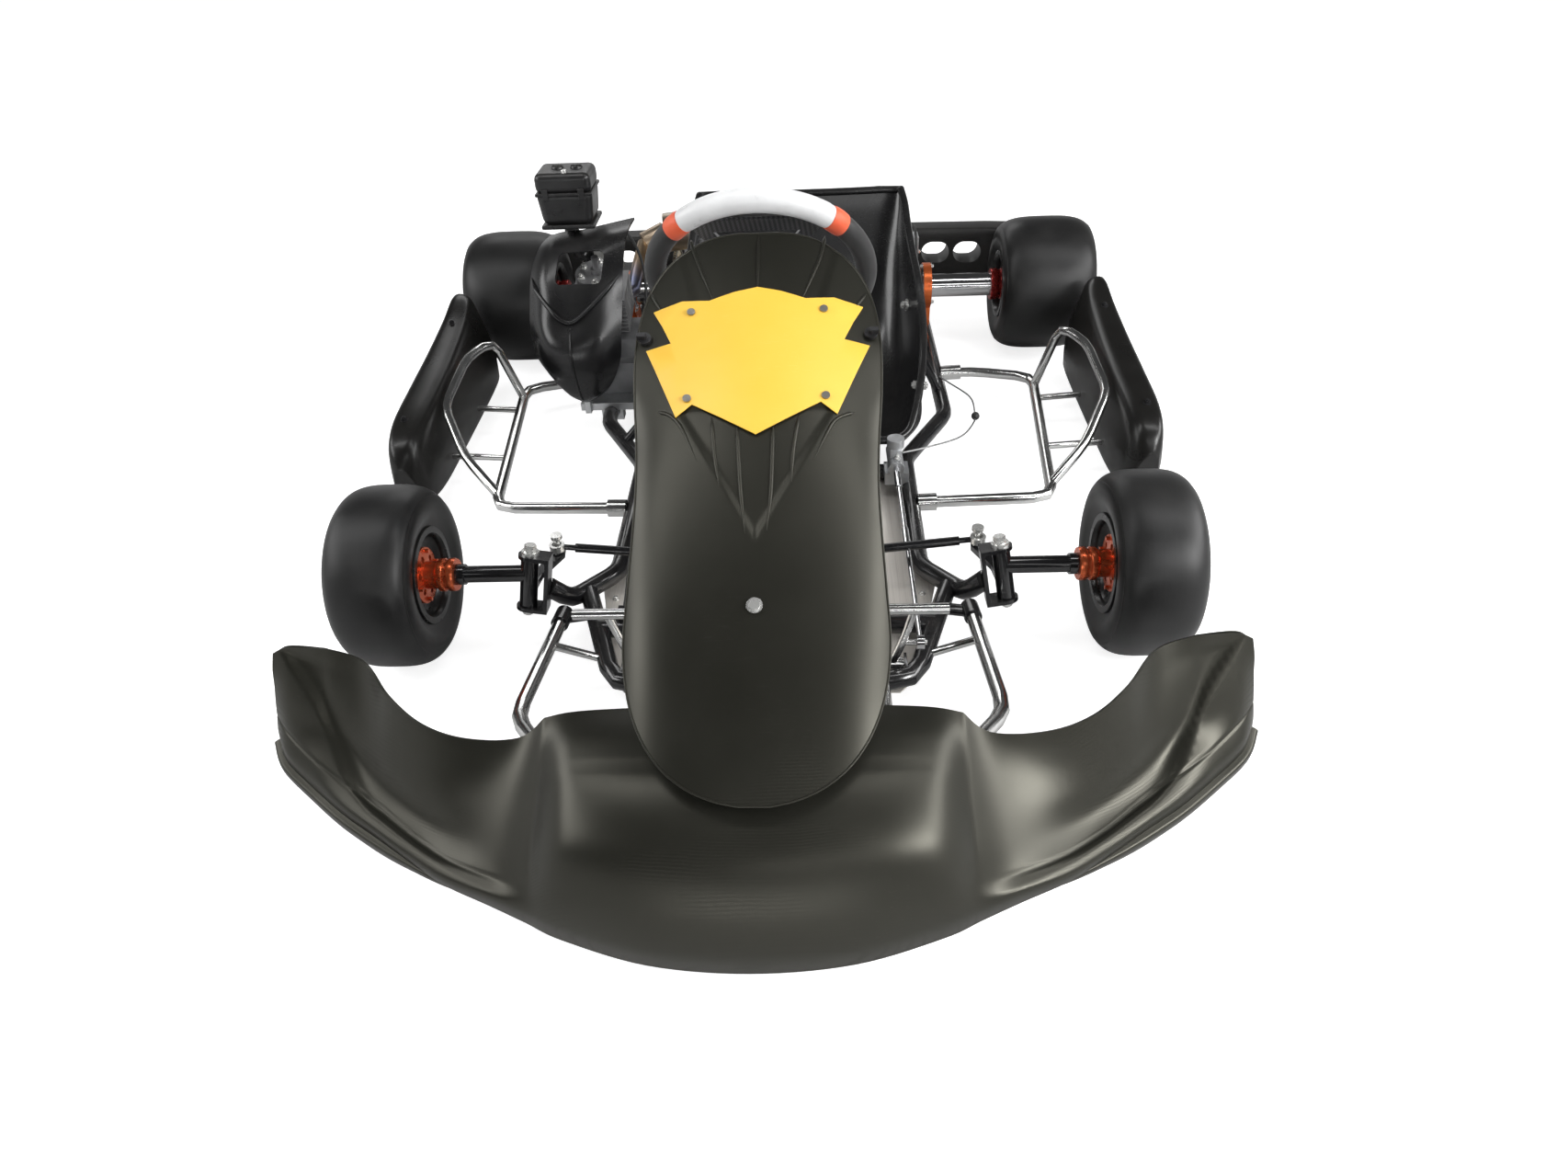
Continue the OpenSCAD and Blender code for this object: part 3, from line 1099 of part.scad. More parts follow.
rail_left();
rail_right();
cross_tubes();
steering_yokes();
floor_tray();
nose_bars();
front_fairing();
front_panel();
number_plate();
panel_fixings();
column_support();
side_bars();
side_pods();
seat();
seat_stays();
fuel_tank();
fuel_cap();
rear_bumper();
bumper_supports();
bearing_hangers();
axle_bearings();
brake_caliper();
master_cylinder();
brake_hose();
safety_cable();
engine_mount();
engine_crankcase();
engine_cylinder();
carburettor();
airbox();
engine_cowl();
exhaust();
chain();
throttle_cable();
fasteners();
steering_column();
steering_plate();
steering_rim();
steering_grip();
steering_bands();
stub_axle_left();
stub_axle_right();
tie_rod_left();
tie_rod_right();
front_tyre_left();
front_tyre_right();
front_rim_left();
front_rim_right();
front_hub_left();
front_hub_right();
rear_axle();
rear_tyres();
rear_rims();
rear_hubs();
rear_sprocket();
brake_disc();
drive_sprocket();
brake_pedal();
throttle_pedal();
brake_rod();
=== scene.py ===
import json
import math

import bmesh
import bpy
from mathutils import Matrix, Vector
from mathutils.bvhtree import BVHTree

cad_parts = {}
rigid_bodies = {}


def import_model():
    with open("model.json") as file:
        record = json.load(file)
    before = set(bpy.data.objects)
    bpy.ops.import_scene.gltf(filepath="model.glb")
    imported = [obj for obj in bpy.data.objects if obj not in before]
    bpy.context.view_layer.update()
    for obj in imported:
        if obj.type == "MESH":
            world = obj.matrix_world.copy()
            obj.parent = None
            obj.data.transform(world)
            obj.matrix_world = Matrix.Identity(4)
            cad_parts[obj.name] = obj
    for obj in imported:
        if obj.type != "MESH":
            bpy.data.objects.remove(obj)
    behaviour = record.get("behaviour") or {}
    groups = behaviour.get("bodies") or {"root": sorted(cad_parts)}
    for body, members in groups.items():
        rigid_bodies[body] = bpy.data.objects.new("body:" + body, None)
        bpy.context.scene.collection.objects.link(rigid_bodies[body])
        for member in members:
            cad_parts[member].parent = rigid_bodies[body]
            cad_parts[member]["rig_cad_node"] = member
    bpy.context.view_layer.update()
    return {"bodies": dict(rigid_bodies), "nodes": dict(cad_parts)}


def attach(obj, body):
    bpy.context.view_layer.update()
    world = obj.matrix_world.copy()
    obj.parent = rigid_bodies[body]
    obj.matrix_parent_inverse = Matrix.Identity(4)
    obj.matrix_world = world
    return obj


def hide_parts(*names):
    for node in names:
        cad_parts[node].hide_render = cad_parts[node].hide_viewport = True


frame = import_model()
axleY, rearY = -0.362, 0.688          # the two axle lines in the frame, metres
print("kart frame loaded")


# objects and nodes

def linked(name, data):
    made = bpy.data.objects.new(name, data)
    bpy.context.scene.collection.objects.link(made)
    return made


class Signal:
    # a node's output that takes part in sums
    def __init__(self, tree, socket):
        self.tree, self.socket = tree, socket

    def calc(self, what, *others):
        return signal(self.tree, "ShaderNodeMath", dict(enumerate((self, *others))), operation=what)

    def __add__(self, other):
        return self.calc("ADD", other)

    def __sub__(self, other):
        return self.calc("SUBTRACT", other)

    def __mul__(self, other):
        return self.calc("MULTIPLY", other)

    def spread(self, low=0.3, high=0.7, start=0.0, end=1.0, **settings):
        return signal(self.tree, "ShaderNodeMapRange", {"Value": self, "From Min": low, "From Max": high,
                                                        "To Min": start, "To Max": end}, **settings)


def feed(node, feeds):
    for key, value in feeds.items():
        if isinstance(value, Signal):
            node.id_data.links.new(value.socket, node.inputs[key])
        else:
            node.inputs[key].default_value = value


def addNode(tree, kind, feeds=None, **settings):
    made = tree.nodes.new(kind)
    for key, value in settings.items():
        setattr(made, key, value)
    feed(made, feeds or {})
    return made


def signal(tree, kind, feeds=None, which=0, **settings):
    return Signal(tree, addNode(tree, kind, feeds, **settings).outputs[which])


finishes = {}
socketNames = {"metal": "Metallic", "specular": "Specular IOR Level", "coat": "Coat Weight",
               "coatRough": "Coat Roughness", "sheen": "Sheen Weight", "aniso": "Anisotropic",
               "subsurface": "Subsurface Weight", "tint": "Specular Tint"}


class Surface:
    # a material that is being made into a finish
    def __init__(self, name):
        self.mat = bpy.data.materials.new(name)
        self.mat.use_nodes = True
        self.tree = self.mat.node_tree
        self.shader = self.tree.nodes["Principled BSDF"]
        self.coords = self.make("TexCoord", which="Object")

    def make(self, kind, feeds=None, which=0, **settings):
        return signal(self.tree, "ShaderNode" + kind, feeds, which, **settings)

    def turned(self, turn, stretch):
        return self.make("Mapping", {"Vector": self.coords, "Rotation": turn, "Scale": stretch})

    def cloud(self, scale, detail=3, rough=0.55, coords=None):
        return self.make("TexNoise", {"Vector": coords or self.coords, "Scale": scale, "Detail": detail,
                                      "Roughness": rough})

    def streaks(self, turn, stretch, level):
        return self.cloud(3, 2, 0.4, self.turned(turn, stretch)).spread(level, level + 0.05)

    def mix(self, share, a, b):
        # a grey may be given as one number
        a, b = ((color,) * 3 if isinstance(color, float) else color for color in (a, b))
        a, b = ((*color, 1) if isinstance(color, tuple) else color for color in (a, b))
        return self.make("Mix", {0: share, 6: a, 7: b}, 2, data_type="RGBA")

    def axisGap(self, middle):
        # distance from a wheel's axis, which runs along x
        moved = self.make("VectorMath", {0: self.coords, 1: middle}, operation="SUBTRACT")
        flat = self.make("VectorMath", {0: moved, 1: (0, 1, 1)}, operation="MULTIPLY")
        return self.make("VectorMath", {0: flat}, "Value", operation="LENGTH")

    def finished(self, look, height, strength, depth, slow=None, color=None, rough=None):
        color = color or self.mix(slow.spread(), look["color"], look["shade"])
        rough = rough or slow.spread(0.3, 0.7, *look["rough"])
        bump = self.make("Bump", {"Height": height, "Strength": strength, "Distance": depth})
        feed(self.shader, {"Base Color": color, "Roughness": rough, "Normal": bump})
        feed(self.shader, {socket: look[key] for key, socket in socketNames.items() if key in look})
        finishes[self.mat.name] = self.mat


# camera and studio

camera = {"place": (0.07717, -1.51876, 1.00301), "yaw": -2.444, "pitch": 38.006, "roll": -2.492,
          "focalPixels": 1081.37, "imageWidth": 1706}


def setCamera(look):
    yaw, pitch, roll = (math.radians(look[k]) for k in ("yaw", "pitch", "roll"))
    ahead = Vector((math.sin(yaw) * math.cos(pitch), math.cos(yaw) * math.cos(pitch), -math.sin(pitch)))
    level = Vector((math.cos(yaw), -math.sin(yaw), 0))
    above = level.cross(ahead)
    right = level * math.cos(roll) + above * math.sin(roll)
    up = above * math.cos(roll) - level * math.sin(roll)
    data = bpy.data.cameras.new("kartCamera")
    data.sensor_width = 36
    data.lens = look["focalPixels"] * data.sensor_width / look["imageWidth"]
    data.clip_start, data.clip_end = 0.02, 100
    holder = bpy.context.scene.camera = linked("kartCamera", data)
    turn = Matrix((right, up, -ahead)).transposed().to_4x4()
    holder.matrix_world = Matrix.Translation(look["place"]) @ turn


# each lamp: name, place, aim, size in metres and power in watts
studio = {"floor": 0.62, "fill": 0.40, "ceiling": 0.04, "horizon": (0.03, 0.32), "floorGlow": 0.8, "boxes": (
    ("leftStrip", (-1.35, -0.3, 2.7), (-0.3, -0.1, 0.2), (0.34, 1.8), 15),
    ("leftStripLow", (-2.7, -0.5, 1.7), (-0.3, -0.3, 0.2), (2.4, 0.9), 34.96),
    ("rightStrip", (1.35, -0.3, 2.7), (0.3, -0.1, 0.2), (0.34, 1.8), 15),
    ("rightStripLow", (2.7, -0.5, 1.7), (0.3, -0.3, 0.2), (2.4, 0.9), 57.5),
    ("frontBox", (0.6, -3.4, 2.3), (0, -0.6, 0.2), (1.6, 0.5), 7),
    ("wingBox", (2.1, -1.95, 1.6), (0.3, -0.77, 0.13), (0.8, 0.5), 40),
    ("lowBand", (0, -3.4, 0.62), (0, -0.9, 0.13), (2.2, 0.14), 11),
    ("rearBox", (-0.6, 3.2, 2.0), (0, 0.3, 0.3), (2.4, 0.7), 16))}


def softBox(name, place, aim, size, power):
    data = bpy.data.lights.new(name, "AREA")
    data.shape = "RECTANGLE"
    data.size, data.size_y = size
    data.energy = power
    lamp = linked(name, data)
    lamp.location = place
    lamp.rotation_euler = (Vector(aim) - Vector(place)).to_track_quat("-Z", "Y").to_euler()


def setStudio(look):
    bpy.context.scene.view_settings.view_transform = "Standard"
    world = bpy.data.worlds.new("studioWorld")
    bpy.context.scene.world = world
    world.use_nodes = True
    tree = world.node_tree
    tree.nodes.clear()
    direct, glossy, clear = (signal(tree, "ShaderNodeLightPath", which="Is " + kind + " Ray")
                             for kind in ("Camera", "Glossy", "Transmission"))
    mirrored = glossy.calc("MAXIMUM", clear)
    # white all round the horizon, falling to a dim ceiling between the soft boxes
    way = signal(tree, "ShaderNodeTexCoord", which="Generated")
    height = signal(tree, "ShaderNodeSeparateXYZ", {0: way}, 2)
    fall = height.spread(*look["horizon"], 1.0, look["ceiling"], interpolation_type="SMOOTHSTEP")
    seen = direct.calc("MAXIMUM", mirrored * fall)
    level = seen.calc("MAXIMUM", (mirrored * -1.0 + 1.0) * look["fill"])
    white = signal(tree, "ShaderNodeBackground", {"Color": (1, 1, 1, 1), "Strength": level})
    addNode(tree, "ShaderNodeOutputWorld", {0: white})
    for box in look["boxes"]:
        softBox(*box)
    # pale floor that keeps the kart's shadow
    bpy.ops.mesh.primitive_plane_add(size=60, location=(0, 0, 0))
    floor = bpy.context.object
    floor.name = "studioFloor"
    skin = Surface("paleFloor")
    glow = skin.make("LightPath", which="Is Camera Ray") * look["floorGlow"]
    feed(skin.shader, {"Base Color": (look["floor"],) * 3 + (1,), "Roughness": 0.9, "Specular IOR Level": 0.1,
                       "Emission Color": (1, 1, 1, 1), "Emission Strength": glow})
    floor.data.materials.append(skin.mat)


setCamera(camera)
setStudio(studio)
print("camera and studio ready")


# finishes

def madeFinish(name, look):
    # a surface with slow colour change, fine grain, rubbed streaks and a little settled dust
    skin = Surface(name)
    slow, grain = skin.cloud(look.get("patch", 9), 4), skin.cloud(look.get("grain", 900), 2)
    color, rough = skin.mix(slow.spread(), look["color"], look["shade"]), slow.spread(0.3, 0.7, *look["rough"])
    height = grain * look.get("grainHeight", 0.3)
    if "rub" in look:
        lengthways = skin.streaks((0.3, 0.2, 0.5), (14, 240, 240), 0.66)
        crossways = skin.streaks((0.1, 1.1, -0.7), (260, 16, 200), 0.68)
        worn = lengthways.calc("MAXIMUM", crossways) * skin.cloud(6, 2).spread(0.45, 0.7, 0.0, look["rub"])
        color, rough, height = skin.mix(worn, color, look["bare"]), rough + worn * 0.25, height - worn * 0.4
    if "swirl" in look:
        # fine arcs left by wiping it down
        rings = skin.make("TexWave", {"Vector": skin.coords, "Scale": 120, "Distortion": 14, "Detail": 3,
                                      "Detail Scale": 0.05}, "Fac", wave_type="RINGS", rings_direction="Z")
        arcs = rings.spread(0.55, 1.0, 0.0, look["swirl"]) * skin.cloud(11).spread(0.42, 0.62, 0.1, 1.0)
        rough, height = rough + arcs * 0.12, height - arcs * 0.5
    if "dust" in look:
        facing = skin.make("NewGeometry", which="Normal")
        up = skin.make("SeparateXYZ", {0: facing}, 2)
        settled = up.spread(0.3, 1.0, 0.0, look["dust"]) * skin.cloud(40, 5).spread(0.35, 0.75, 0.2, 1.0)
        color, rough = skin.mix(settled, color, (0.34, 0.32, 0.29)), rough + settled * 0.3
    skin.finished(look, height, look.get("bump", 0.25), look.get("depth", 0.0004), color=color, rough=rough)


looks = {
    "frameEnamel": dict(color=(0.006, 0.006, 0.007), shade=(0.010, 0.010, 0.011), rough=(0.16, 0.27), grain=420,
        grainHeight=0.5, depth=0.0002, coat=0.4, coatRough=0.08, rub=0.25, bare=0.12, dust=0.05),
    "knuckleEnamel": dict(color=(0.006, 0.006, 0.007), shade=(0.011, 0.011, 0.012), rough=(0.14, 0.24), grain=500,
        depth=0.0002, coat=0.5, coatRough=0.07, rub=0.3, bare=0.2),
    "polishedChrome": dict(color=(0.82, 0.82, 0.81), shade=(0.72, 0.72, 0.71), rough=(0.13, 0.26), metal=1.0,
        patch=22, grain=1400, grainHeight=0.15, rub=0.35, bare=0.6, bump=0.12, depth=0.0002),
    "mouldedBlack": dict(color=(0.0088, 0.0088, 0.0068), shade=(0.0122, 0.0122, 0.0098), rough=(0.30, 0.37), patch=4,
        grain=1500, grainHeight=0.5, rub=0.16, swirl=0.8, tint=(1.0, 0.97, 0.83, 1), bare=(0.05, 0.048, 0.042),
        bump=0.12, depth=0.0002),
    "podBlack": dict(color=(0.0065, 0.0062, 0.0058), shade=(0.0100, 0.0096, 0.0088), rough=(0.25, 0.34), patch=6,
        grain=1300, grainHeight=0.5, specular=0.42, rub=0.35, bare=(0.05, 0.048, 0.044), bump=0.12, depth=0.0002),
    "bumperBlack": dict(color=(0.008, 0.0078, 0.0075), shade=(0.013, 0.0125, 0.012), rough=(0.36, 0.5), patch=8,
        grainHeight=0.7, specular=0.4, rub=0.4, bare=(0.1, 0.1, 0.095), depth=0.0003, dust=0.04),
    "plateYellow": dict(color=(0.84, 0.50, 0.058), shade=(0.87, 0.56, 0.085), rough=(0.30, 0.42), patch=5, grain=1200,
        grainHeight=0.25, specular=0.4, rub=0.12, bare=(0.95, 0.75, 0.3), bump=0.08, depth=0.0002),
    "zincSteel": dict(color=(0.84, 0.84, 0.82), shade=(0.70, 0.70, 0.68), rough=(0.2, 0.32), metal=0.78, patch=60,
        grain=1500, bump=0.2, depth=0.0002),
    "seatGel": dict(color=(0.006, 0.006, 0.0065), shade=(0.010, 0.010, 0.0105), rough=(0.18, 0.30), patch=7,
        grain=700, grainHeight=0.35, coat=0.3, coatRough=0.12, rub=0.4, bare=0.08, bump=0.12, depth=0.0003, dust=0.03),
    "tankPlastic": dict(color=(0.055, 0.055, 0.058), shade=0.075, rough=(0.42, 0.55), grain=600, grainHeight=0.6,
        subsurface=0.05, rub=0.3, bare=0.15),
    "capRed": dict(color=(0.45, 0.03, 0.03), shade=(0.55, 0.05, 0.045), rough=(0.35, 0.5), bump=0.2, rub=0.2,
        bare=(0.6, 0.25, 0.22)),
    "hangerOrange": dict(color=(0.66, 0.13, 0.035), shade=(0.74, 0.18, 0.05), rough=(0.26, 0.36), metal=0.75,
        patch=30, grain=1100, grainHeight=0.35, rub=0.35, bare=(0.75, 0.6, 0.5), bump=0.15, depth=0.0002),
    "bearingSteel": dict(color=(0.58, 0.58, 0.60), shade=(0.48, 0.48, 0.50), rough=(0.2, 0.33), metal=1.0, patch=50,
        grain=1200, bump=0.12),
    "castAlloy": dict(color=(0.60, 0.61, 0.62), shade=(0.48, 0.49, 0.50), rough=(0.34, 0.5), metal=0.95, patch=40,
        grain=700, grainHeight=0.8, bump=0.35, depth=0.0003),
    "mountAlloy": dict(color=(0.64, 0.65, 0.66), shade=(0.55, 0.56, 0.57), rough=(0.28, 0.4), metal=1.0, patch=30,
        rub=0.4, bare=0.8, bump=0.2),
    "engineGrey": dict(color=(0.15, 0.153, 0.158), shade=(0.21, 0.213, 0.218), rough=(0.42, 0.58), metal=0.7,
        patch=30, grain=520, grainHeight=0.9, bump=0.45, rub=0.3, bare=0.45, dust=0.08),
    "barrelGrey": dict(color=(0.27, 0.27, 0.28), shade=(0.36, 0.36, 0.365), rough=(0.4, 0.55), metal=0.8, patch=40,
        grain=600, grainHeight=0.8, bump=0.35, depth=0.0003, dust=0.05),
    "carburettorGrey": dict(color=(0.40, 0.40, 0.38), shade=(0.48, 0.48, 0.46), rough=(0.38, 0.52), metal=0.85,
        patch=50, grain=700, grainHeight=0.7, bump=0.3),
    "airboxBlack": dict(color=(0.007, 0.007, 0.0075), shade=(0.012, 0.012, 0.0125), rough=(0.25, 0.4), patch=18,
        grain=800, grainHeight=0.6, bump=0.2, rub=0.25, bare=0.09, dust=0.06),
    "cowlBlack": dict(color=(0.006, 0.006, 0.0065), shade=(0.009, 0.009, 0.0095), rough=(0.2, 0.34), grain=1300,
        grainHeight=0.45, bump=0.14, depth=0.0002, rub=0.35, bare=0.09, dust=0.03),
    "chainSteel": dict(color=(0.25, 0.23, 0.19), shade=(0.34, 0.31, 0.26), rough=(0.3, 0.5), metal=0.95, patch=80,
        bump=0.2),
    "steeringSteel": dict(color=(0.60, 0.61, 0.62), shade=(0.50, 0.51, 0.52), rough=(0.18, 0.3), metal=1.0, patch=30,
        grain=1200, bump=0.1, rub=0.3, bare=0.7),
    "rimMagnesium": dict(color=0.006, shade=0.011, rough=(0.24, 0.36), patch=25, grain=700, grainHeight=0.6, bump=0.2,
        rub=0.25, bare=0.2, dust=0.04),
    "axleChrome": dict(color=(0.78, 0.78, 0.79), shade=(0.68, 0.68, 0.69), rough=(0.08, 0.18), metal=1.0, patch=20,
        grain=1300, grainHeight=0.15, bump=0.1, rub=0.3, bare=0.6),
    "screwGrey": dict(color=(0.36, 0.35, 0.32), shade=(0.28, 0.27, 0.25), rough=(0.3, 0.42), metal=0.9, patch=70,
        grain=1200, bump=0.2),
    "blackSteel": dict(color=(0.03, 0.03, 0.032), shade=(0.05, 0.05, 0.052), rough=(0.3, 0.42), metal=0.6, patch=60,
        grain=1100, bump=0.2)}


tray = {"color": (0.86, 0.82, 0.76), "shade": (0.70, 0.66, 0.61), "scuff": 0.8, "rough": (0.34, 0.5),
        "stripe": (900, 5, 300), "metal": 0.55, "aniso": 0.4}


def brushedTray(name, look):
    # sheet alloy rolled along the kart, with shoe scuffs
    skin = Surface(name)
    lines, slow = skin.cloud(1.0, coords=skin.turned((0, 0, 0), look["stripe"])), skin.cloud(11, 4)
    marks = skin.streaks((0, 0, 0.5), (20, 160, 100), 0.62) * slow.spread(0.45, 0.65, 0.0, 0.5)
    color = skin.mix(marks, skin.mix(lines.spread(), look["color"], look["shade"]), look["scuff"])
    skin.finished(look, lines, 0.2, 0.0002, slow, color)


frontMiddle, rearMiddle, drumMiddle = (0, axleY, 0.134), (0, rearY, 0.142), (0, 0.428, 0.122)
turnedLooks = {
    "hubCopper": dict(color=(0.66, 0.115, 0.040), shade=(0.74, 0.16, 0.06), bare=(0.8, 0.5, 0.35),
                      rough=(0.22, 0.32), metal=0.8, rings=5200, middle=frontMiddle),
    "hubRed": dict(color=(0.36, 0.025, 0.022), shade=(0.44, 0.04, 0.035), bare=(0.6, 0.3, 0.25),
                   rough=(0.22, 0.34), metal=0.75, rings=5200, middle=rearMiddle),
    "sprocketGold": dict(color=(0.50, 0.36, 0.13), shade=(0.58, 0.43, 0.18), bare=(0.7, 0.65, 0.5),
                         rough=(0.24, 0.36), metal=0.95, rings=4200, middle=rearMiddle),
    "discSteel": dict(color=(0.40, 0.40, 0.41), shade=(0.32, 0.31, 0.30), bare=0.6,
                      rough=(0.24, 0.4), metal=1.0, rings=3600, rub=0.5, middle=rearMiddle),
    "drumSteel": dict(color=(0.42, 0.42, 0.43), shade=(0.36, 0.35, 0.33), bare=0.6,
                      rough=(0.26, 0.4), metal=1.0, rings=3600, middle=drumMiddle)}


def turnedMetal(name, look):
    # machined part with fine tool rings round the axle
    skin = Surface(name)
    rings = (skin.axisGap(look["middle"]) * look["rings"]).calc("SINE")
    slow = skin.cloud(35, 4)
    worn = skin.streaks((0.2, 0.4, 0.1), (200, 30, 200), 0.66) * look.get("rub", 0.3)
    color = skin.mix(worn, skin.mix(slow.spread(), look["color"], look["shade"]), look["bare"])
    skin.finished(look, rings, 0.12, 0.0002, slow, color)


tyreLooks = {
    "frontTyre": {"middle": frontMiddle, "radius": 0.134, "specular": 0.4},
    "rearTyre": {"middle": rearMiddle, "radius": 0.142, "specular": 0.4}}


def tyreRubber(name, look):
    # slick rubber: faint rolling bands, dusty side walls and a dull scrubbed tread
    skin = Surface(name)
    radius, across = skin.axisGap(look["middle"]), skin.make("SeparateXYZ", {0: skin.coords})
    tread = radius.spread(look["radius"] - 0.016, look["radius"] - 0.004)
    slow, fine = skin.cloud(14, 5), skin.cloud(700)
    bands, rings = (across * 900).calc("SINE"), (radius * 2600).calc("SINE")
    side = skin.mix(slow.spread(0.35), (0.0080, 0.0080, 0.0083), (0.0150, 0.0146, 0.0140))
    face = skin.mix(slow.spread(), (0.0095, 0.0095, 0.0098), (0.0150, 0.0148, 0.0145))
    rough = slow.spread(0.3, 0.7, 0.33, 0.46) + tread * 0.04
    relief = fine * 0.5 + skin.make("Mix", {0: tread, 2: rings * 0.12, 3: bands * 0.05})
    skin.finished(look, relief, 0.25, 0.0004, color=skin.mix(tread, side, face), rough=rough)


# the two tow colours are one black fibre painted lighter and darker as painted reflection, and the gap colour is
# painted shade at the edges of each tow
twill = {"turn": (0.35, 0.2, 0.785), "scale": 420, "under": (0.020, 0.020, 0.022), "over": (0.085, 0.087, 0.092),
         "gap": 0.008, "rough": 0.3, "coat": 0.7, "coatRough": 0.08}


def weavePlate(name, look):
    # twill of dark fibre under clear resin; the tows lying on top are painted lighter than the others as painted
    # reflection, and each tow is painted darker towards its edges as painted shade
    skin = Surface(name)
    turned = skin.turned(look["turn"], (look["scale"],) * 3)
    across, along = (skin.make("SeparateXYZ", {0: turned}, axis) for axis in (0, 1))
    upper = (across.calc("FLOOR") + along.calc("FLOOR")).calc("FLOORED_MODULO", 4.0).calc("LESS_THAN", 1.5)
    thread = skin.make("Mix", {0: upper, 2: across.calc("FRACT"), 3: along.calc("FRACT")})
    crown = (thread * math.pi).calc("SINE")
    # painted reflection and shade: tows on top get the lighter colour, and each tow fades to the gap colour at its
    # edges
    color = skin.mix(crown, look["gap"], skin.mix(upper, look["under"], look["over"]))
    skin.finished(look, crown, 0.25, 0.0003, color=color, rough=look["rough"])


hides = {
    "threadGrey": dict(color=0.10, shade=0.16, rough=(0.55, 0.7), sheen=0.15),
    "rimGrip": dict(color=0.010, shade=0.017, rough=(0.42, 0.56), sheen=0.15),
    "gripSilver": dict(color=(0.70, 0.705, 0.71), shade=(0.78, 0.785, 0.79), rough=(0.26, 0.36), sheen=0.15),
    "bandOrange": dict(color=(0.72, 0.085, 0.028), shade=(0.80, 0.12, 0.04), rough=(0.38, 0.5), sheen=0.15)}


def gripHide(name, look):
    # soft hide over the steering wheel: pores, creases and hand polish
    skin = Surface(name)
    pores = skin.make("TexVoronoi", {"Vector": skin.coords, "Scale": 900}, "Distance")
    creases = skin.make("TexVoronoi", {"Vector": skin.coords, "Scale": 260}, "Distance", feature="DISTANCE_TO_EDGE")
    relief = pores * 0.5 + creases.spread(0.0, 0.12, 0.0, 0.6)
    skin.finished(look, relief, 0.25, 0.0003, skin.cloud(30, 4))


# each cord's two colours are painted shade in the strand grooves and a painted highlight on the strand crests
cordLooks = {
    "cordBlack": dict(dark=0.012, light=0.03, pitch=500, rough=(0.45, 0.6)),
    "cableSteel": dict(dark=0.25, light=(0.62, 0.62, 0.63), pitch=900, metal=1.0, rough=(0.25, 0.4))}


def cordSkin(name, look):
    # woven or moulded skin of a cable: two crossing sets of fine diagonal strands, with painted shade in the grooves
    # between them and a painted highlight on their crests
    skin = Surface(name)
    one, other = (skin.make("TexWave", {"Vector": skin.turned(turn, (look["pitch"],) * 3), "Scale": 1.0,
                                        "Distortion": 0.6}, "Fac") for turn in ((0.6, 0.5, 0.0), (-0.6, 0.5, 0.3)))
    relief = one.calc("MAXIMUM", other)
    # the colour follows the strand relief: painted shade low down, painted highlight on top
    skin.finished(look, relief, 0.35, 0.0003, skin.cloud(60), skin.mix(relief, look["dark"], look["light"]))


heat = {"port": (-0.316, 0.444, 0.228), "rough": (0.26, 0.48), "metal": 1.0, "stops": (
    (0.0, (0.16, 0.13, 0.16)), (0.18, (0.20, 0.22, 0.34)), (0.34, (0.46, 0.33, 0.20)), (0.6, (0.46, 0.43, 0.39)),
    (1.0, (0.36, 0.35, 0.34)))}


def exhaustSteel(name, look):
    # heat-tinted steel, straw and blue near the port, sooty towards the silencer
    skin = Surface(name)
    reach = skin.make("VectorMath", {0: skin.coords, 1: look["port"]}, "Value", operation="DISTANCE")
    slow = skin.cloud(18, 5)
    ramp = addNode(skin.tree, "ShaderNodeValToRGB", {"Fac": (reach + slow * 0.10).spread(0.03, 0.55)})
    stops, band = look["stops"], ramp.color_ramp.elements
    band[0].color, band[1].color = (*stops[0][1], 1), (*stops[-1][1], 1)
    for place, color in stops[1:-1]:
        band.new(place).color = (*color, 1)
    skin.finished(look, skin.cloud(500), 0.2, 0.0003, slow, Signal(skin.tree, ramp.outputs[0]))


for maker, table in ((madeFinish, looks), (brushedTray, {"brushedTray": tray}), (turnedMetal, turnedLooks),
                     (tyreRubber, tyreLooks), (weavePlate, {"weavePlate": twill}), (gripHide, hides),
                     (cordSkin, cordLooks), (exhaustSteel, {"exhaustSteel": heat})):
    for finishName, finishLook in table.items():
        maker(finishName, finishLook)
print("finishes ready:", len(finishes))


# mesh helpers

nodeBodies = {child["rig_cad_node"]: bodyName for bodyName, holder in frame["bodies"].items()
              for child in holder.children_recursive if "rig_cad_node" in child}


def place(x, y, z):
    # millimetres from the front axle line to metres in the frame
    return Vector((x / 1000, y / 1000 + axleY, z / 1000))


def leaning(at, degrees, axis="X"):
    return Matrix.Translation(at) @ Matrix.Rotation(math.radians(degrees), 4, axis)


def newObject(name, verts, faces, edges=()):
    mesh = bpy.data.meshes.new(name)
    mesh.from_pydata([tuple(v) for v in verts], edges, faces)
    mesh.update()
    return linked(name, mesh)


def meshObject(name, shape):
    mesh = bpy.data.meshes.new(name)
    shape.to_mesh(mesh)
    shape.free()
    return linked(name, mesh)


def cleanShape(node):
    # a welded copy of a CAD node with its flat faces whole again
    shape = bmesh.new()
    shape.from_mesh(frame["nodes"][node].data)
    bmesh.ops.remove_doubles(shape, verts=shape.verts, dist=1e-5)
    bmesh.ops.dissolve_degenerate(shape, edges=shape.edges, dist=1e-6)
    bmesh.ops.dissolve_limit(shape, angle_limit=math.radians(1), verts=shape.verts, edges=shape.edges)
    return shape


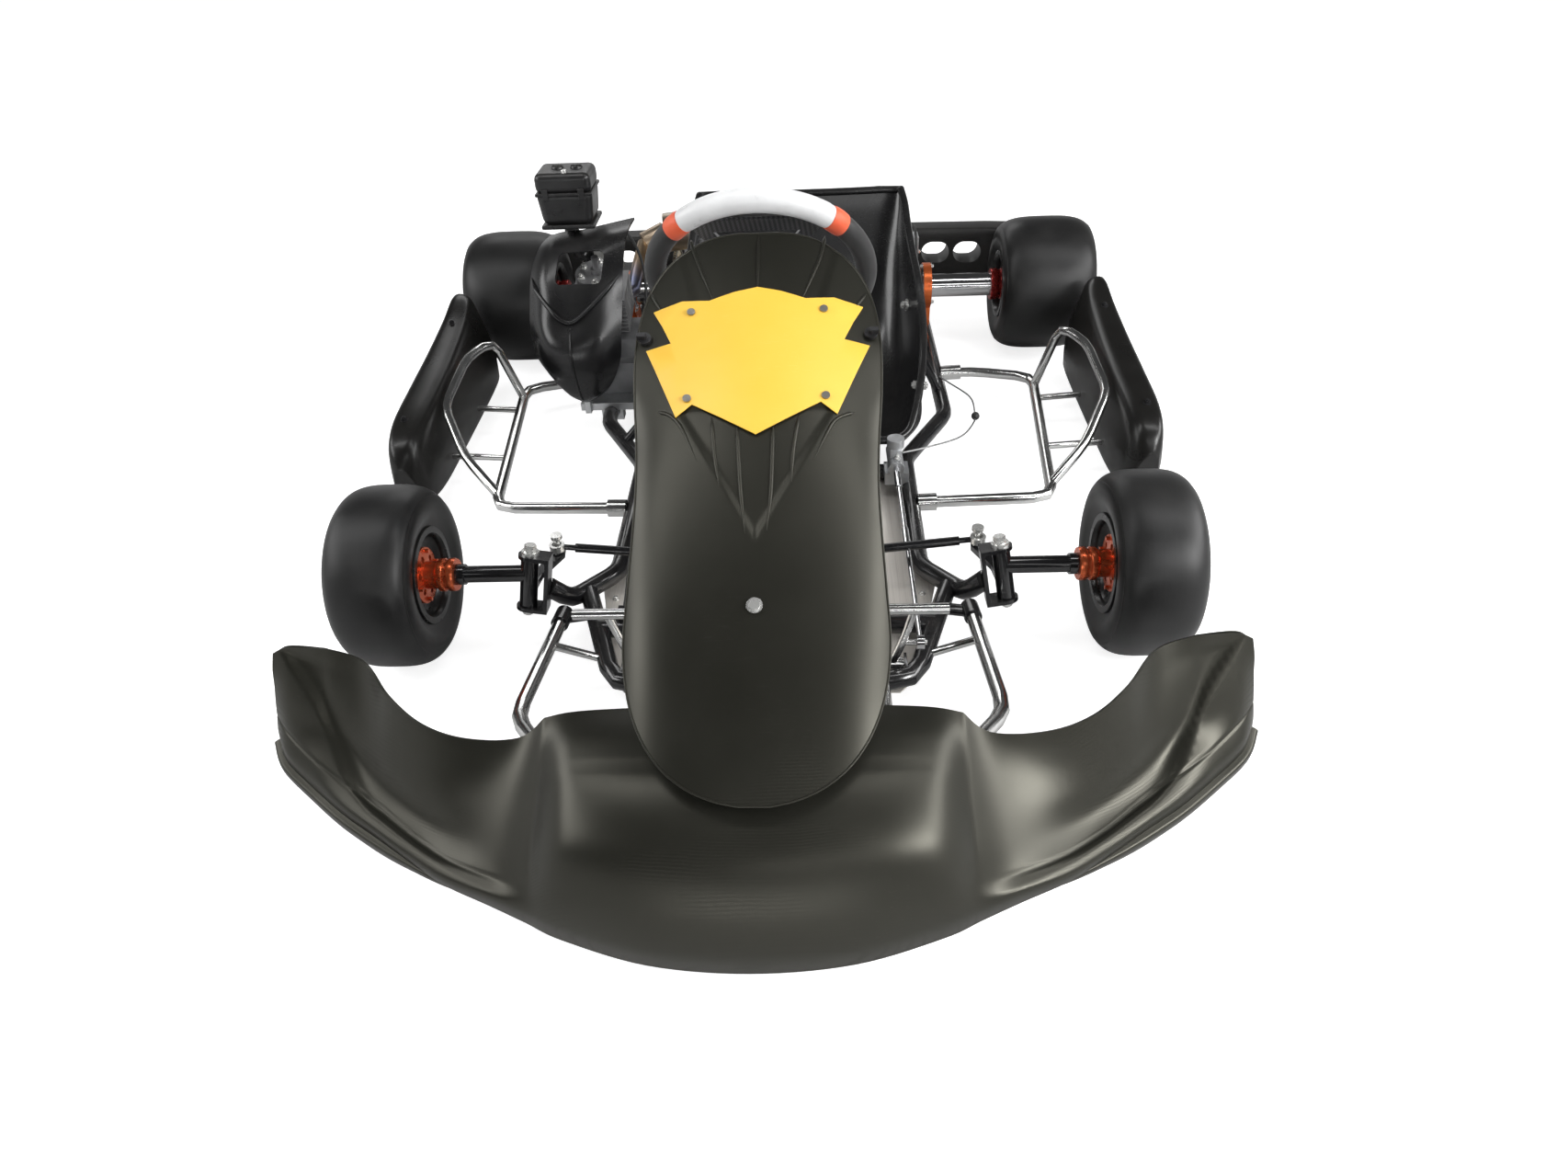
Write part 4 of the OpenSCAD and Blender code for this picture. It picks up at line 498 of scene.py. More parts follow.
def facedOut(made, weld=False):
    shape = bmesh.new()
    shape.from_mesh(made.data)
    if weld:
        bmesh.ops.remove_doubles(shape, verts=shape.verts, dist=1e-5)
    bmesh.ops.recalc_face_normals(shape, faces=shape.faces)
    shape.to_mesh(made.data)
    shape.free()
    return made


def smoothEdges(made, angle=35):
    mesh = made.data
    mesh.polygons.foreach_set("use_smooth", [True] * len(mesh.polygons))
    mesh.set_sharp_from_angle(angle=math.radians(angle))
    mesh.update()


def roundEdges(made, width, segments=2, angle=35):
    bevel = made.modifiers.new("roundEdges", "BEVEL")
    bevel.width, bevel.segments = width, segments
    bevel.limit_method, bevel.angle_limit = "ANGLE", math.radians(angle)
    bevel.harden_normals = bevel.use_clamp_overlap = True


def carried(made, *nodes, body=None, slot=None):
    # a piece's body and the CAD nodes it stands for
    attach(made, body or nodeBodies[nodes[0]])
    if nodes:
        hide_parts(*nodes)
    return made


def paint(made, finish):
    made.data.materials.clear()
    made.data.materials.append(finishes[finish])
    return made


def camelName(node):
    first, *others = node.split("_")
    return first + "".join(word.title() for word in others)


# finish, edge radius in metres, the angle past which an edge stays sharp, and the CAD nodes
nodeLooks = (
    ("frameEnamel", 0.0006, 40, "rail_left rail_right cross_tubes column_support"),
    ("frameEnamel", 0.0012, 35, "steering_yokes"), ("frameEnamel", 0.0008, 35, "seat_stays"),
    ("frameEnamel", 0.001, 35, "bumper_supports"), ("brushedTray", 0.0005, 30, "floor_tray"),
    ("polishedChrome", 0.0005, 40, "nose_bars side_bars brake_pedal throttle_pedal"),
    ("plateYellow", 0.0004, 60, "number_plate"), ("zincSteel", 0.0006, 35, "panel_fixings"),
    ("tankPlastic", 0.005, 35, "fuel_tank"), ("hangerOrange", 0.0012, 35, "bearing_hangers"),
    ("bearingSteel", 0.0005, 35, "axle_bearings"), ("castAlloy", 0.002, 35, "brake_caliper"),
    ("castAlloy", 0.0012, 35, "master_cylinder"), ("mountAlloy", 0.0015, 35, "engine_mount"),
    ("engineGrey", 0.004, 35, "engine_crankcase"), ("barrelGrey", 0.0012, 35, "engine_cylinder"),
    ("carburettorGrey", 0.002, 35, "carburettor"), ("exhaustSteel", 0.002, 35, "exhaust"),
    ("zincSteel", 0.0008, 35, "fasteners"), ("steeringSteel", 0.0008, 35, "steering_column"),
    ("weavePlate", 0.0008, 35, "steering_plate"), ("knuckleEnamel", 0.001, 35, "stub_axle_left stub_axle_right"),
    ("knuckleEnamel", 0.0008, 35, "tie_rod_left tie_rod_right"),
    ("rimMagnesium", 0.0008, 35, "front_rim_left front_rim_right rear_rims"),
    ("hubCopper", 0.0006, 35, "front_hub_left front_hub_right"), ("hubRed", 0.0006, 35, "rear_hubs"),
    ("axleChrome", 0.0008, 35, "rear_axle"), ("axleChrome", 0.0006, 35, "brake_rod"),
    ("sprocketGold", 0.0004, 35, "rear_sprocket"), ("discSteel", 0.0005, 35, "brake_disc"),
    ("drumSteel", 0.0006, 35, "drive_sprocket"), ("capRed", 0.0015, 35, "fuel_cap"))
longNames = {"carburettor": "carburettorBody", "exhaust": "exhaustPipe", "fasteners": "frameFasteners"}
dressed = {}
for finish, bevel, angle, nodes in nodeLooks:
    for node in nodes.split():
        made = meshObject(longNames.get(node) or camelName(node), cleanShape(node))
        smoothEdges(made, angle)
        roundEdges(made, bevel, 2, angle)
        dressed[node] = carried(paint(made, finish), node)
print("CAD copies dressed:", len(dressed))


def repaint(made, chooser, *others):
    # further finishes for the faces that the chooser gives a number, from their place in mm
    for finish in others:
        made.data.materials.append(finishes[finish])
    for face in made.data.polygons:
        face.material_index = chooser(face.center.x * 1000, (face.center.y - axleY) * 1000, face.center.z * 1000)


def clipFinish(x, y, z):
    # the clips and hooks are black, the plate screws dull and the low bolt bright
    return 1 if abs(x) > 112 or abs(y + 400) < 40 else 2 if y > -130 else 0


def studFinish(low):
    # ball joint and its nut at the end of the steering arm
    return lambda x, y, z: int(math.hypot(abs(x) - 321.5, y - 80) < 14 and z > low)


repaint(dressed["panel_fixings"], clipFinish, "blackSteel", "screwGrey")
for side in ("left", "right"):
    repaint(dressed["stub_axle_" + side], studFinish(125), "zincSteel")
    repaint(dressed["tie_rod_" + side], studFinish(100), "zincSteel")


# shared shape makers

def curveAt(a, b, c, d, t):
    return (b * 2 + (c - a) * t + (a * 2 - b * 5 + c * 4 - d) * (t * t)
            + (b * 3 - a - c * 3 + d) * (t * t * t)) / 2


def smoothRow(row, steps):
    row, made = [Vector(q) for q in row], []
    for i in range(len(row) - 1):
        a, b, c, d = row[max(i - 1, 0)], row[i], row[i + 1], row[min(i + 2, len(row) - 1)]
        made += [curveAt(a, b, c, d, j / steps) for j in range(steps)]
    return made + [row[-1]]


def brokenRow(row, steps, breaks):
    # smooth between the breaks, with a kink at each
    stops = [0, *breaks, len(row) - 1]
    made = []
    for start, end in zip(stops[:-1], stops[1:]):
        made += smoothRow(row[start:end + 1], steps)[:-1]
    return made + [row[-1]]


def partlyBroken(row, steps, breaks, keep):
    return [soft.lerp(kinked, keep) for soft, kinked in zip(smoothRow(row, steps), brokenRow(row, steps, breaks))]


def smoothStep(low, high, value):
    t = min(max((value - low) / (high - low), 0), 1)
    return t * t * (3 - 2 * t)


def arcPoints(radius, start, span, steps):
    turns = (math.radians(start + span * k / steps) for k in range(steps + 1))
    return [(radius * math.cos(a), radius * math.sin(a)) for a in turns]


def ringPoints(count, radius, phase=0.0):
    return arcPoints(radius, phase, 360, count)[:-1]


def gridObject(name, grid, outward, closedAcross=False):
    rows, cols = len(grid), len(grid[0])
    faces = [(i * cols + j, (i + 1) * cols + j, (i + 1) * cols + (j + 1) % cols, i * cols + (j + 1) % cols)
             for i in range(rows - 1) for j in range(cols if closedAcross else cols - 1)]
    made = newObject(name, [q for row in grid for q in row], faces)
    lean = sum((f.normal * f.area for f in made.data.polygons), Vector())
    if lean.dot(Vector(outward)) < 0:
        made.data.flip_normals()
    return made


def thickened(made, wall):
    solid = made.modifiers.new("wall", "SOLIDIFY")
    solid.thickness, solid.offset = wall, -1
    return solid


def wallBehind(made, wall, lip, finish):
    thickened(made, wall).use_even_offset = True
    smoothEdges(made, 60)
    roundEdges(made, lip, 3, 60)
    return paint(made, finish)


def bakeModifiers(made):
    evaluated = made.evaluated_get(bpy.context.evaluated_depsgraph_get())
    mesh = bpy.data.meshes.new_from_object(evaluated)
    made.modifiers.clear()
    made.data = mesh
    return made


def sweepTube(name, path, radius, sides=16, closed=False, widths=None):
    # a round tube along a path, with its ring frames carried from point to point
    count, side = len(path), None
    verts, faces = [], []
    for i, point in enumerate(path):
        back = path[i - 1] if closed or i else path[0]
        front = path[(i + 1) % count] if closed or i < count - 1 else path[-1]
        ahead = (Vector(front) - Vector(back)).normalized()
        if side is None:
            side = ahead.cross(Vector((0.31, 0.17, 1))).normalized()
        side = (side - ahead * side.dot(ahead)).normalized()
        other = ahead.cross(side)
        verts += [Vector(point) + side * a + other * b
                  for a, b in ringPoints(sides, radius * (widths[i] if widths else 1))]
    for i in range(count if closed else count - 1):
        here, then = i * sides, (i + 1) % count * sides
        faces += [(here + k, here + (k + 1) % sides, then + (k + 1) % sides, then + k) for k in range(sides)]
    if not closed:
        faces += [tuple(range(sides))[::-1], tuple((count - 1) * sides + k for k in range(sides))]
    made = newObject(name, verts, faces)
    smoothEdges(made, 50)
    return made


def bentPath(points, corner, steps):
    # straight runs with each corner rounded over the length given
    made = [points[0]]
    for before, here, after in zip(points[:-2], points[1:-1], points[2:]):
        a, c = (here + (other - here).normalized() * corner for other in (before, after))
        made += [a * (1 - t) ** 2 + here * (2 * t * (1 - t)) + c * t * t for t in (j / steps for j in range(steps + 1))]
    return made + [points[-1]]


def latheAround(name, profile, matrix, segments, closed=False):
    # profile of (radius, along) pairs turned round the z axis of the matrix
    count = len(profile)
    verts = [matrix @ Vector((r * c, r * s, z)) for c, s in ringPoints(segments, 1) for r, z in profile]
    faces = []
    for s in range(segments):
        here, then = s * count, (s + 1) % segments * count
        faces += [(here + k, then + k, then + (k + 1) % count, here + (k + 1) % count)
                  for k in range(count if closed else count - 1)]
    return facedOut(newObject(name, verts, faces))


def joined(name, parts):
    # several finished meshes as one piece, each keeping its own material
    shape, materials = bmesh.new(), []
    for part in parts:
        part = bakeModifiers(part)
        start = len(shape.faces)
        shape.from_mesh(part.data)
        shape.faces.ensure_lookup_table()
        for face in shape.faces[start:]:
            own = part.data.materials[face.material_index]
            if own not in materials:
                materials.append(own)
            face.material_index = materials.index(own)
        bpy.data.objects.remove(part)
    made = meshObject(name, shape)
    for own in materials:
        made.data.materials.append(own)
    return made


# front fairing

fairing = {"wall": 0.004, "lip": 0.0013, "across": 7, "along": 9, "grooveRow": 1.55, "groove": 0.0007,
           "creaseRow": 4.05, "lipCrease": 0.0014, "fold": 0.007, "foldWidth": 0.75, "underOut": 0.008,
           "underDrop": 0.019, "underWall": 0.003}
fairingRows = [
    [(0, -345, 200), (0, -400, 202), (0, -468, 195), (0, -528, 168), (0, -566, 124), (0, -586, 78), (0, -587, 45)],
    [(110, -346, 199), (110, -398, 201), (110, -463, 192), (110, -520, 164), (110, -556, 120), (110, -576, 76),
     (110, -577, 45)],
    [(200, -349, 197), (198, -396, 194), (196, -450, 178), (198, -502, 148), (202, -532, 108), (206, -546, 74),
     (207, -547, 46)],
    [(240, -352, 190), (240, -390, 172), (240, -432, 148), (242, -478, 118), (245, -510, 90), (250, -525, 70),
     (251, -526, 47)],
    [(272, -362, 168), (276, -392, 148), (280, -426, 124), (285, -462, 98), (290, -488, 78), (296, -504, 68),
     (297, -505, 49)],
    [(338, -360, 166), (340, -386, 134), (343, -412, 108), (346, -436, 86), (350, -460, 74), (355, -476, 63),
     (356, -478, 50)],
    [(392, -344, 174), (393, -368, 136), (395, -389, 107), (397, -407, 86), (401, -428, 75), (405, -444, 64),
     (406, -447, 53)],
    [(438, -312, 190), (438, -338, 148), (440, -358, 118), (443, -374, 95), (448, -394, 81), (452, -413, 70),
     (453, -417, 58)],
    [(480, -266, 205), (482, -298, 162), (485, -322, 131), (488, -341, 107), (495, -364, 90), (500, -382, 77),
     (502, -387, 65)],
    [(530, -252, 213), (532, -277, 178), (534, -297, 149), (537, -314, 124), (543, -335, 104), (548, -347, 88),
     (550, -352, 74)],
    [(575, -250, 214), (577, -266, 187), (579, -280, 163), (582, -292, 140), (585, -302, 120), (589, -316, 101),
     (591, -320, 86)],
    [(596, -251, 206), (600, -259, 186), (602, -266, 165), (604, -273, 147), (606, -279, 129), (608, -287, 110),
     (609, -290, 96)]]


def frontFairing(size):
    half = [[place(*q) for q in row] for row in fairingRows]
    rows = [[Vector((-q.x, q.y, q.z)) for q in row] for row in half[:0:-1]] + half
    middle = len(half) - 1
    across, along = size["across"], size["along"]
    columns = [partlyBroken([row[k] for row in rows], across, [middle + step for step in (-9, -3, 3, 9)],
                            1 - smoothStep(3.2, 5.0, k)) for k in range(len(rows[0]))]
    grid = []
    for i, line in enumerate(zip(*columns)):
        out = abs(i / across - middle)
        row = partlyBroken(line, along, (4,), smoothStep(3.2, 5.5, out))
        # shallow groove across the deck, and a crease between the dished wing and its rolled lower edge
        for marked, width, deep in ((size["grooveRow"], 0.05, size["groove"] * smoothStep(2.4, 2.0, out)),
                                    (size["creaseRow"], 0.11, size["lipCrease"] * smoothStep(3.3, 4.4, out))):
            row = [q - Vector((0, 0, deep * math.exp(-((j / along - marked) / width) ** 2)))
                   for j, q in enumerate(row)]
        grid.append(row)
    foldWings(grid, middle, size)
    made = wallBehind(gridObject("frontFairing", grid, (0, -1, 1)), size["wall"], size["lip"], "mouldedBlack")
    parts = [made] + [underLip(rows, side, size) for side in (1, -1)]
    return carried(joined("frontFairing", parts), "front_fairing")


def foldWings(grid, middle, size):
    # the dished face breaks from the rolled outer wall along a line that climbs towards the tip
    across, along = size["across"], size["along"]
    moves = []
    for i, row in enumerate(grid):
        out = abs(i / across - middle)
        line = 4.5 - 4.6 * smoothStep(7.2, 10.9, out)
        for j in range(len(row)):
            inside = (line - j / along) / size["foldWidth"]
            if inside <= 0 or out < 4:
                continue
            before, after = grid[max(i - 1, 0)][j], grid[min(i + 1, len(grid) - 1)][j]
            inward = (after - before).cross(row[min(j + 1, len(row) - 1)] - row[max(j - 1, 0)]).normalized()
            if inward.y < 0:
                inward = -inward
            fades = smoothStep(4, 6, out) * min(1, j / along / 0.5)
            moves.append((i, j, inward * size["fold"] * inside * math.exp(1 - inside) * fades))
    for i, j, move in moves:
        grid[i][j] = grid[i][j] + move


def underLip(rows, side, size):
    # second edge below the wing, from the flank of the nose out to the tip
    edge = smoothRow([row[-1] for row in rows[len(rows) // 2 + 4:]], 8)
    grid = []
    for i, q in enumerate(edge):
        ahead = (edge[min(i + 1, len(edge) - 1)] - edge[max(i - 1, 0)]).normalized()
        away = Vector((ahead.y, -ahead.x, 0)).normalized()
        if away.y > 0:
            away = -away
        # it starts behind the edge and comes out from under it
        hidden = 1 - smoothStep(0, 26, i)
        out, drop = size["underOut"], size["underDrop"] * (1 - 0.6 * hidden)
        inset, lift = 0.012 * hidden, 0.003 * hidden
        section = ((-0.012, 0.002), (out * 0.55, -0.001), (out, -drop * 0.3), (out * 0.9, -drop * 0.85),
                   (out * 0.3, -drop - 0.002), (-0.012, -drop - 0.001))
        grid.append([Vector((side * (q.x + away.x * (a - inset)), q.y + away.y * (a - inset), q.z + z + lift))
                     for a, z in section])
    made = gridObject("fairingUnderLip", [smoothRow(row, 3) for row in grid], (0, -1, 0.2))
    return wallBehind(made, size["underWall"], 0.0008, "mouldedBlack")


# front panel with its raised ribs

panel = {"wall": 0.003, "lip": 0.001, "length": 739, "lean": 30, "foot": (9, -500, 205), "cells": 110, "steps": 13,
         "rib": 0.0023, "sink": 2.6, "brow": 0.0014, "edgeFall": 15}
panelOutline = [(2, 16), (8, 43), (21, 72), (44, 100), (78, 123), (122, 139), (178, 147), (240, 145), (310, 142),
                (370, 141), (430, 144), (490, 149), (550, 151), (600, 148), (645, 139), (682, 122), (708, 100),
                (726, 76), (735, 50), (738, 26)]
panelRibs = [[(0, 736), (0, 632)], [(-89, 736), (-83, 710), (-68, 663), (-53, 619)],
             [(86, 736), (80, 700), (67, 658), (52, 615)], [(-138, 652), (-120, 615)], [(136, 640), (120, 612)],
             [(-117, 465), (-101, 456), (-86, 435), (-68, 392)], [(-52, 450), (-47, 397), (-41, 358)],
             [(-22, 440), (-17, 357), (-11, 297)], [(20, 440), (18, 356), (13, 300)],
             [(50, 450), (43, 401), (41, 360)], [(115, 458), (93, 445), (80, 421), (67, 391)]]


def onPanel(x, s, size, lift=0.0):
    # a place on the panel, s mm up its slope
    height = 104 * (s / size["length"]) * (1 - s / size["length"]) - 20 * (x / 150) ** 2
    height -= size["edgeFall"] * smoothStep(565, 420, s) * (x / 150) ** 6
    # sunken fields between the ribs, above and below the plate
    lower = min((s - 300) * 0.55 - abs(x) + 8, 470 - s)
    upper = min(s - 600, 84 - abs(x) + (736 - s) * -0.25 + 30)
    height -= size["sink"] * max(smoothStep(0, 12, lower), 0.6 * smoothStep(0, 14, upper)) - lift
    lean, (footX, footY, footZ) = math.radians(size["lean"]), size["foot"]
    return place(x + footX, footY + s * math.cos(lean) - height * math.sin(lean),
                 footZ + s * math.sin(lean) + height * math.cos(lean))


def taperedTube(name, path, radius, sides, least, head, tail, finish):
    # a ridge that thins out at both ends
    n = len(path) - 1
    widths = [max(least, min(1, i / head, (n - i) / tail)) for i in range(n + 1)]
    return paint(sweepTube(name, path, radius, sides, widths=widths), finish)


def panelRib(line, size):
    path = [onPanel(q.x, q.y, size, 0.2) for q in smoothRow(line, 10)]
    return taperedTube("panelRib", path, size["rib"], 12, 0.15, 3, (len(path) - 1) / 2.6, "mouldedBlack")


def frontPanel(size):
    cells = size["cells"]
    grid = [[onPanel(half * (k / cells * 2 - 1), s, size) for k in range(cells + 1)]
            for s, half in smoothRow(panelOutline, size["steps"])]
    made = wallBehind(gridObject("frontPanel", grid, (0, -1, 1)), size["wall"], size["lip"], "mouldedBlack")
    # rolled brow round the whole edge
    border = [row[-1] for row in grid] + [row[0] for row in grid[::-1]]
    brow = paint(sweepTube("panelBrow", border[::2], size["brow"], 10, closed=True), "mouldedBlack")
    return carried(joined("frontPanel", [made, brow] + [panelRib(line, size) for line in panelRibs]), "front_panel")


# seat shell with its rolled rim

seat = {"wall": 0.005, "lip": 0.0012, "middle": 55, "steps": 5, "cells": 24, "rim": 0.0075, "flat": 0.4,
        "flatWidth": 0.9, "swell": 1.02}
seatRows = [(418, 106, 140, 414, 112, 168), (445, 86, 140, 438, 118, 190), (490, 62, 136, 486, 140, 206),
            (560, 46, 130, 560, 172, 221), (650, 42, 122, 640, 200, 230), (735, 60, 122, 704, 236, 231),
            (806, 110, 130, 760, 276, 226), (862, 184, 142, 812, 306, 219), (906, 270, 158, 868, 344, 212),
            (940, 340, 172, 918, 370, 209), (958, 384, 182, 950, 388, 203)]


def seatPoint(q, t, size):
    # across one row: a flat middle, then up the side in one sweep
    floorY, floorZ, half, edgeY, edgeZ, edgeHalf = q
    flat, side = size["flat"], math.copysign(1, t)
    inner = half * size["flatWidth"]
    if abs(t) <= flat:
        return place(size["middle"] + inner * t / flat, floorY, floorZ + 2 * (t / flat) ** 2)
    u = (abs(t) - flat) / (1 - flat)
    x = inner * (1 - u) ** 2 + 2 * u * (1 - u) * edgeHalf * size["swell"] + u * u * edgeHalf
    return place(size["middle"] + side * x, floorY + (edgeY - floorY) * u * u,
                 floorZ + 2 * (1 - u) + (edgeZ - floorZ) * u * u)


def seatShell(size):
    cells = size["cells"]
    grid = [[seatPoint(q, k / cells, size) for k in range(-cells, cells + 1)]
            for q in smoothRow(seatRows, size["steps"])]
    shell = wallBehind(gridObject("seatShell", grid, (0, -0.6, 1)), size["wall"], size["lip"], "seatGel")
    # rim rolled over along the whole edge
    edge = [row[0] for row in grid] + grid[-1][1:] + [row[-1] for row in grid[-2::-1]] + grid[0][-2:0:-1]
    middle = sum(edge, Vector()) / len(edge)
    outer = [q + Vector((q.x - middle.x, 0, 0)).normalized() * 0.0035 + Vector((0, 0, -0.003)) for q in edge]
    rim = paint(sweepTube("seatRim", outer, size["rim"], 14, closed=True), "seatGel")
    return carried(joined("seatShell", [shell, rim]), "seat")


# side pods

pod = {"along": 5, "round": 4, "edge": 0.003}
podRows = [(346, 632, 650, 672, 676, 104), (372, 618, 638, 680, 686, 140), (430, 611, 634, 686, 692, 160),
           (540, 611, 632, 687, 693, 172), (660, 612, 634, 687, 693, 184), (780, 614, 640, 687, 693, 200),
           (850, 618, 648, 686, 692, 216), (876, 626, 654, 684, 689, 218)]


def podRing(q, side):
    y, inner, innerTop, outerTop, outer, top = q
    ring = [(inner, 36), (inner - 2, top * 0.5), (innerTop - 8, top - 16), (innerTop + 6, top),
            (outerTop - 10, top + 2), (outerTop, top - 8), (outer, top * 0.6), (outer - 4, 50), (outer - 14, 32),
            (inner + 10, 32)]
    return [place(side * x, y, z) for x, z in ring]


def roundLoop(ring, steps):
    # part of the way from straight sides to a smooth loop keeps the ridge
    n = len(ring)
    return [curveAt(ring[i - 1], ring[i], ring[(i + 1) % n], ring[(i + 2) % n], t).lerp(
        ring[i].lerp(ring[(i + 1) % n], t), 0.35) for i in range(n) for t in (j / steps for j in range(steps))]


def sidePod(side, size):
    rings = [roundLoop(podRing(q, side), size["round"])
             for q in smoothRow(podRows, size["along"])]

    def closing(base):
        middle = sum(base, Vector()) / len(base)
        return [[middle + (q - middle) * scale for q in base] for scale in (0.96, 0.5, 0.02)]
    rings = closing(rings[0])[::-1] + rings + closing(rings[-1])
    made = facedOut(gridObject("sidePodPart", rings, (side, 0, 0), closedAcross=True), weld=True)
    smoothEdges(made, 50)
    roundEdges(made, size["edge"], 3, 50)
    return paint(made, "podBlack")


def sidePods(size):
    return carried(joined("sidePods", [sidePod(side, size) for side in (1, -1)]), "side_pods")


# engine cowl with its window

cowl = {"wall": 0.004, "lip": 0.0012, "across": 6, "along": 6, "windowPlace": (-412, 700, 286), "windowLean": 48,
        "window": ((0, 0), (88, 0), (96, 66), (8, 66)), "windowCorner": 10,
        "ridges": {"cowlVee": (0.0048, ((29, 1), (27, 4), (25, 8), (24, 10), (24, 13), (25, 16), (27, 20), (29, 23))),
                   "cowlKeel": (0.0022, ((23, 12), (18, 12), (12, 12), (6, 12), (2, 12)))}}
cowlRows = [
    [(-394, 640, 87), (-387, 634, 85), (-378, 632, 84), (-368, 634, 85), (-360, 640, 87)],
    [(-424, 640, 118), (-408, 616, 112), (-380, 606, 109), (-348, 614, 112), (-326, 634, 117)],
    [(-462, 650, 168), (-430, 608, 160), (-382, 594, 156), (-334, 606, 160), (-300, 640, 168)],
    [(-472, 668, 222), (-436, 618, 214), (-384, 600, 208), (-332, 616, 214), (-292, 652, 222)],
    [(-470, 690, 268), (-436, 648, 262), (-384, 634, 250), (-332, 646, 262), (-288, 676, 268)],
    [(-464, 720, 318), (-432, 690, 322), (-384, 680, 318), (-330, 688, 326), (-282, 706, 330)],
    [(-452, 764, 350), (-424, 744, 358), (-378, 738, 362), (-326, 742, 369), (-276, 752, 376)],
    [(-444, 826, 352), (-416, 820, 361), (-372, 816, 366), (-320, 818, 376), (-270, 824, 384)]]


def windowCutter(size):
    turn = leaning(place(*size["windowPlace"]), size["windowLean"])
    corners, window = [], [Vector(q) for q in size["window"]]
    for i, here in enumerate(window):
        # rounded window corners
        before, after = (here + (other - here).normalized() * size["windowCorner"]
                         for other in (window[i - 1], window[(i + 1) % len(window)]))
        corners += [before, (here + before + after) / 3, after]
    verts = [turn @ Vector((q.x / 1000, q.y / 1000, z)) for z in (-0.06, 0.07) for q in corners]
    n = len(corners)
    walls = [(k, (k + 1) % n, n + (k + 1) % n, n + k) for k in range(n)]
    return newObject("cowlCutter", verts, [tuple(range(n))[::-1], tuple(range(n, 2 * n))] + walls)


def engineCowl(size):
    grid = [[place(*q) for q in row] for row in cowlRows]
    columns = [smoothRow([row[k] for row in grid], size["across"]) for k in range(len(grid[0]))]
    rows = [partlyBroken(line, size["along"], (2,), 0.8) for line in zip(*columns)]
    made, cutter = gridObject("engineCowl", rows, (0, -1, 0.5)), windowCutter(size)
    thickened(made, size["wall"])
    cut = made.modifiers.new("window", "BOOLEAN")
    cut.object, cut.operation, cut.solver = cutter, "DIFFERENCE", "EXACT"
    bakeModifiers(made)
    bpy.data.objects.remove(cutter)
    smoothEdges(made, 40)
    roundEdges(made, size["lip"], 3, 45)
    parts = [paint(made, "cowlBlack")]
    for name, (thick, marks) in size["ridges"].items():
        # raised moulding that runs over the cowl through the marked grid places
        path = smoothRow([rows[i][j] + Vector((0, -0.0012, 0.0008)) for i, j in marks], 8)
        parts.append(taperedTube(name, path, thick, 14, 0.12, 7, 7, "cowlBlack"))
    return carried(joined("engineCowl", parts), "engine_cowl")


# rear bumper, one long moulding with round edges and hand holes

bumper = {"node": "rear_bumper", "edge": 0.012, "segments": 5, "holeEdge": 0.0025, "deep": 0.02}


def rearBumper(size):
    shape = cleanShape(size["node"])
    low, high = min(v.co.z for v in shape.verts), max(v.co.z for v in shape.verts)
    rims = [e for e in shape.edges if any(sum(abs(v.co.z - z) for v in e.verts) < 0.0002 for z in (low, high))]
    bmesh.ops.bevel(shape, geom=rims, offset=size["edge"], segments=size["segments"], affect="EDGES", profile=0.5,
                    clamp_overlap=True)
    mouths = [e for e in shape.edges if len(e.link_faces) == 2 and e.calc_face_angle(0) > math.radians(60)
              and all(low + size["deep"] < v.co.z < high - size["deep"] for v in e.verts)
              and any(abs(f.normal.y) > 0.85 for f in e.link_faces)]
    bmesh.ops.bevel(shape, geom=mouths, offset=size["holeEdge"], segments=3, affect="EDGES", profile=0.5,
                    clamp_overlap=True)
    bmesh.ops.triangulate(shape, faces=[f for f in shape.faces if len(f.verts) > 4])
    made = meshObject("rearBumper", shape)
    smoothEdges(made, 28)
    print("rear bumper edges rounded:", len(rims), len(mouths))
    return carried(paint(made, "bumperBlack"), size["node"])


# airbox on its corrugated neck

airbox = {"low": (-444, 768, 388), "high": (-335, 856, 452), "lidTop": 484, "flange": 3, "corner": 0.014,
          "bumps": (-402, -366), "bumpWidth": 0.011, "screw": (-384, 782), "neck": 0.0135, "corrugation": 0.07,
          "route": ((-396, 838, 388), (-412, 880, 330), (-408, 928, 272), (-380, 928, 272))}
bumpProfile = ((1.15, -0.004), (1.12, 0.0), (1, 0.0035), (0.8, 0.0058), (0.45, 0.0068), (0.02, 0.007))
screwProfile = ((0.0055, -0.002), (0.0055, 0.003), (0.0048, 0.004), (0.0026, 0.004), (0.0024, 0.0025),
                (0.0002, 0.0025))


def roundedBlock(name, low, high, corner, taper=0.0, segments=5):
    (x0, y0, z0), (x1, y1, z1) = low, high
    verts = [place(x + (taper if x == x0 else -taper) * (z == z0), y, z) for z in (z0, z1) for x, y in
             ((x0, y0), (x1, y0), (x1, y1), (x0, y1))]
    faces = [(3, 2, 1, 0), (4, 5, 6, 7), (0, 1, 5, 4), (1, 2, 6, 5), (2, 3, 7, 6), (3, 0, 4, 7)]
    made = newObject(name, verts, faces)
    smoothEdges(made, 40)
    roundEdges(made, corner, segments, 30)
    return made


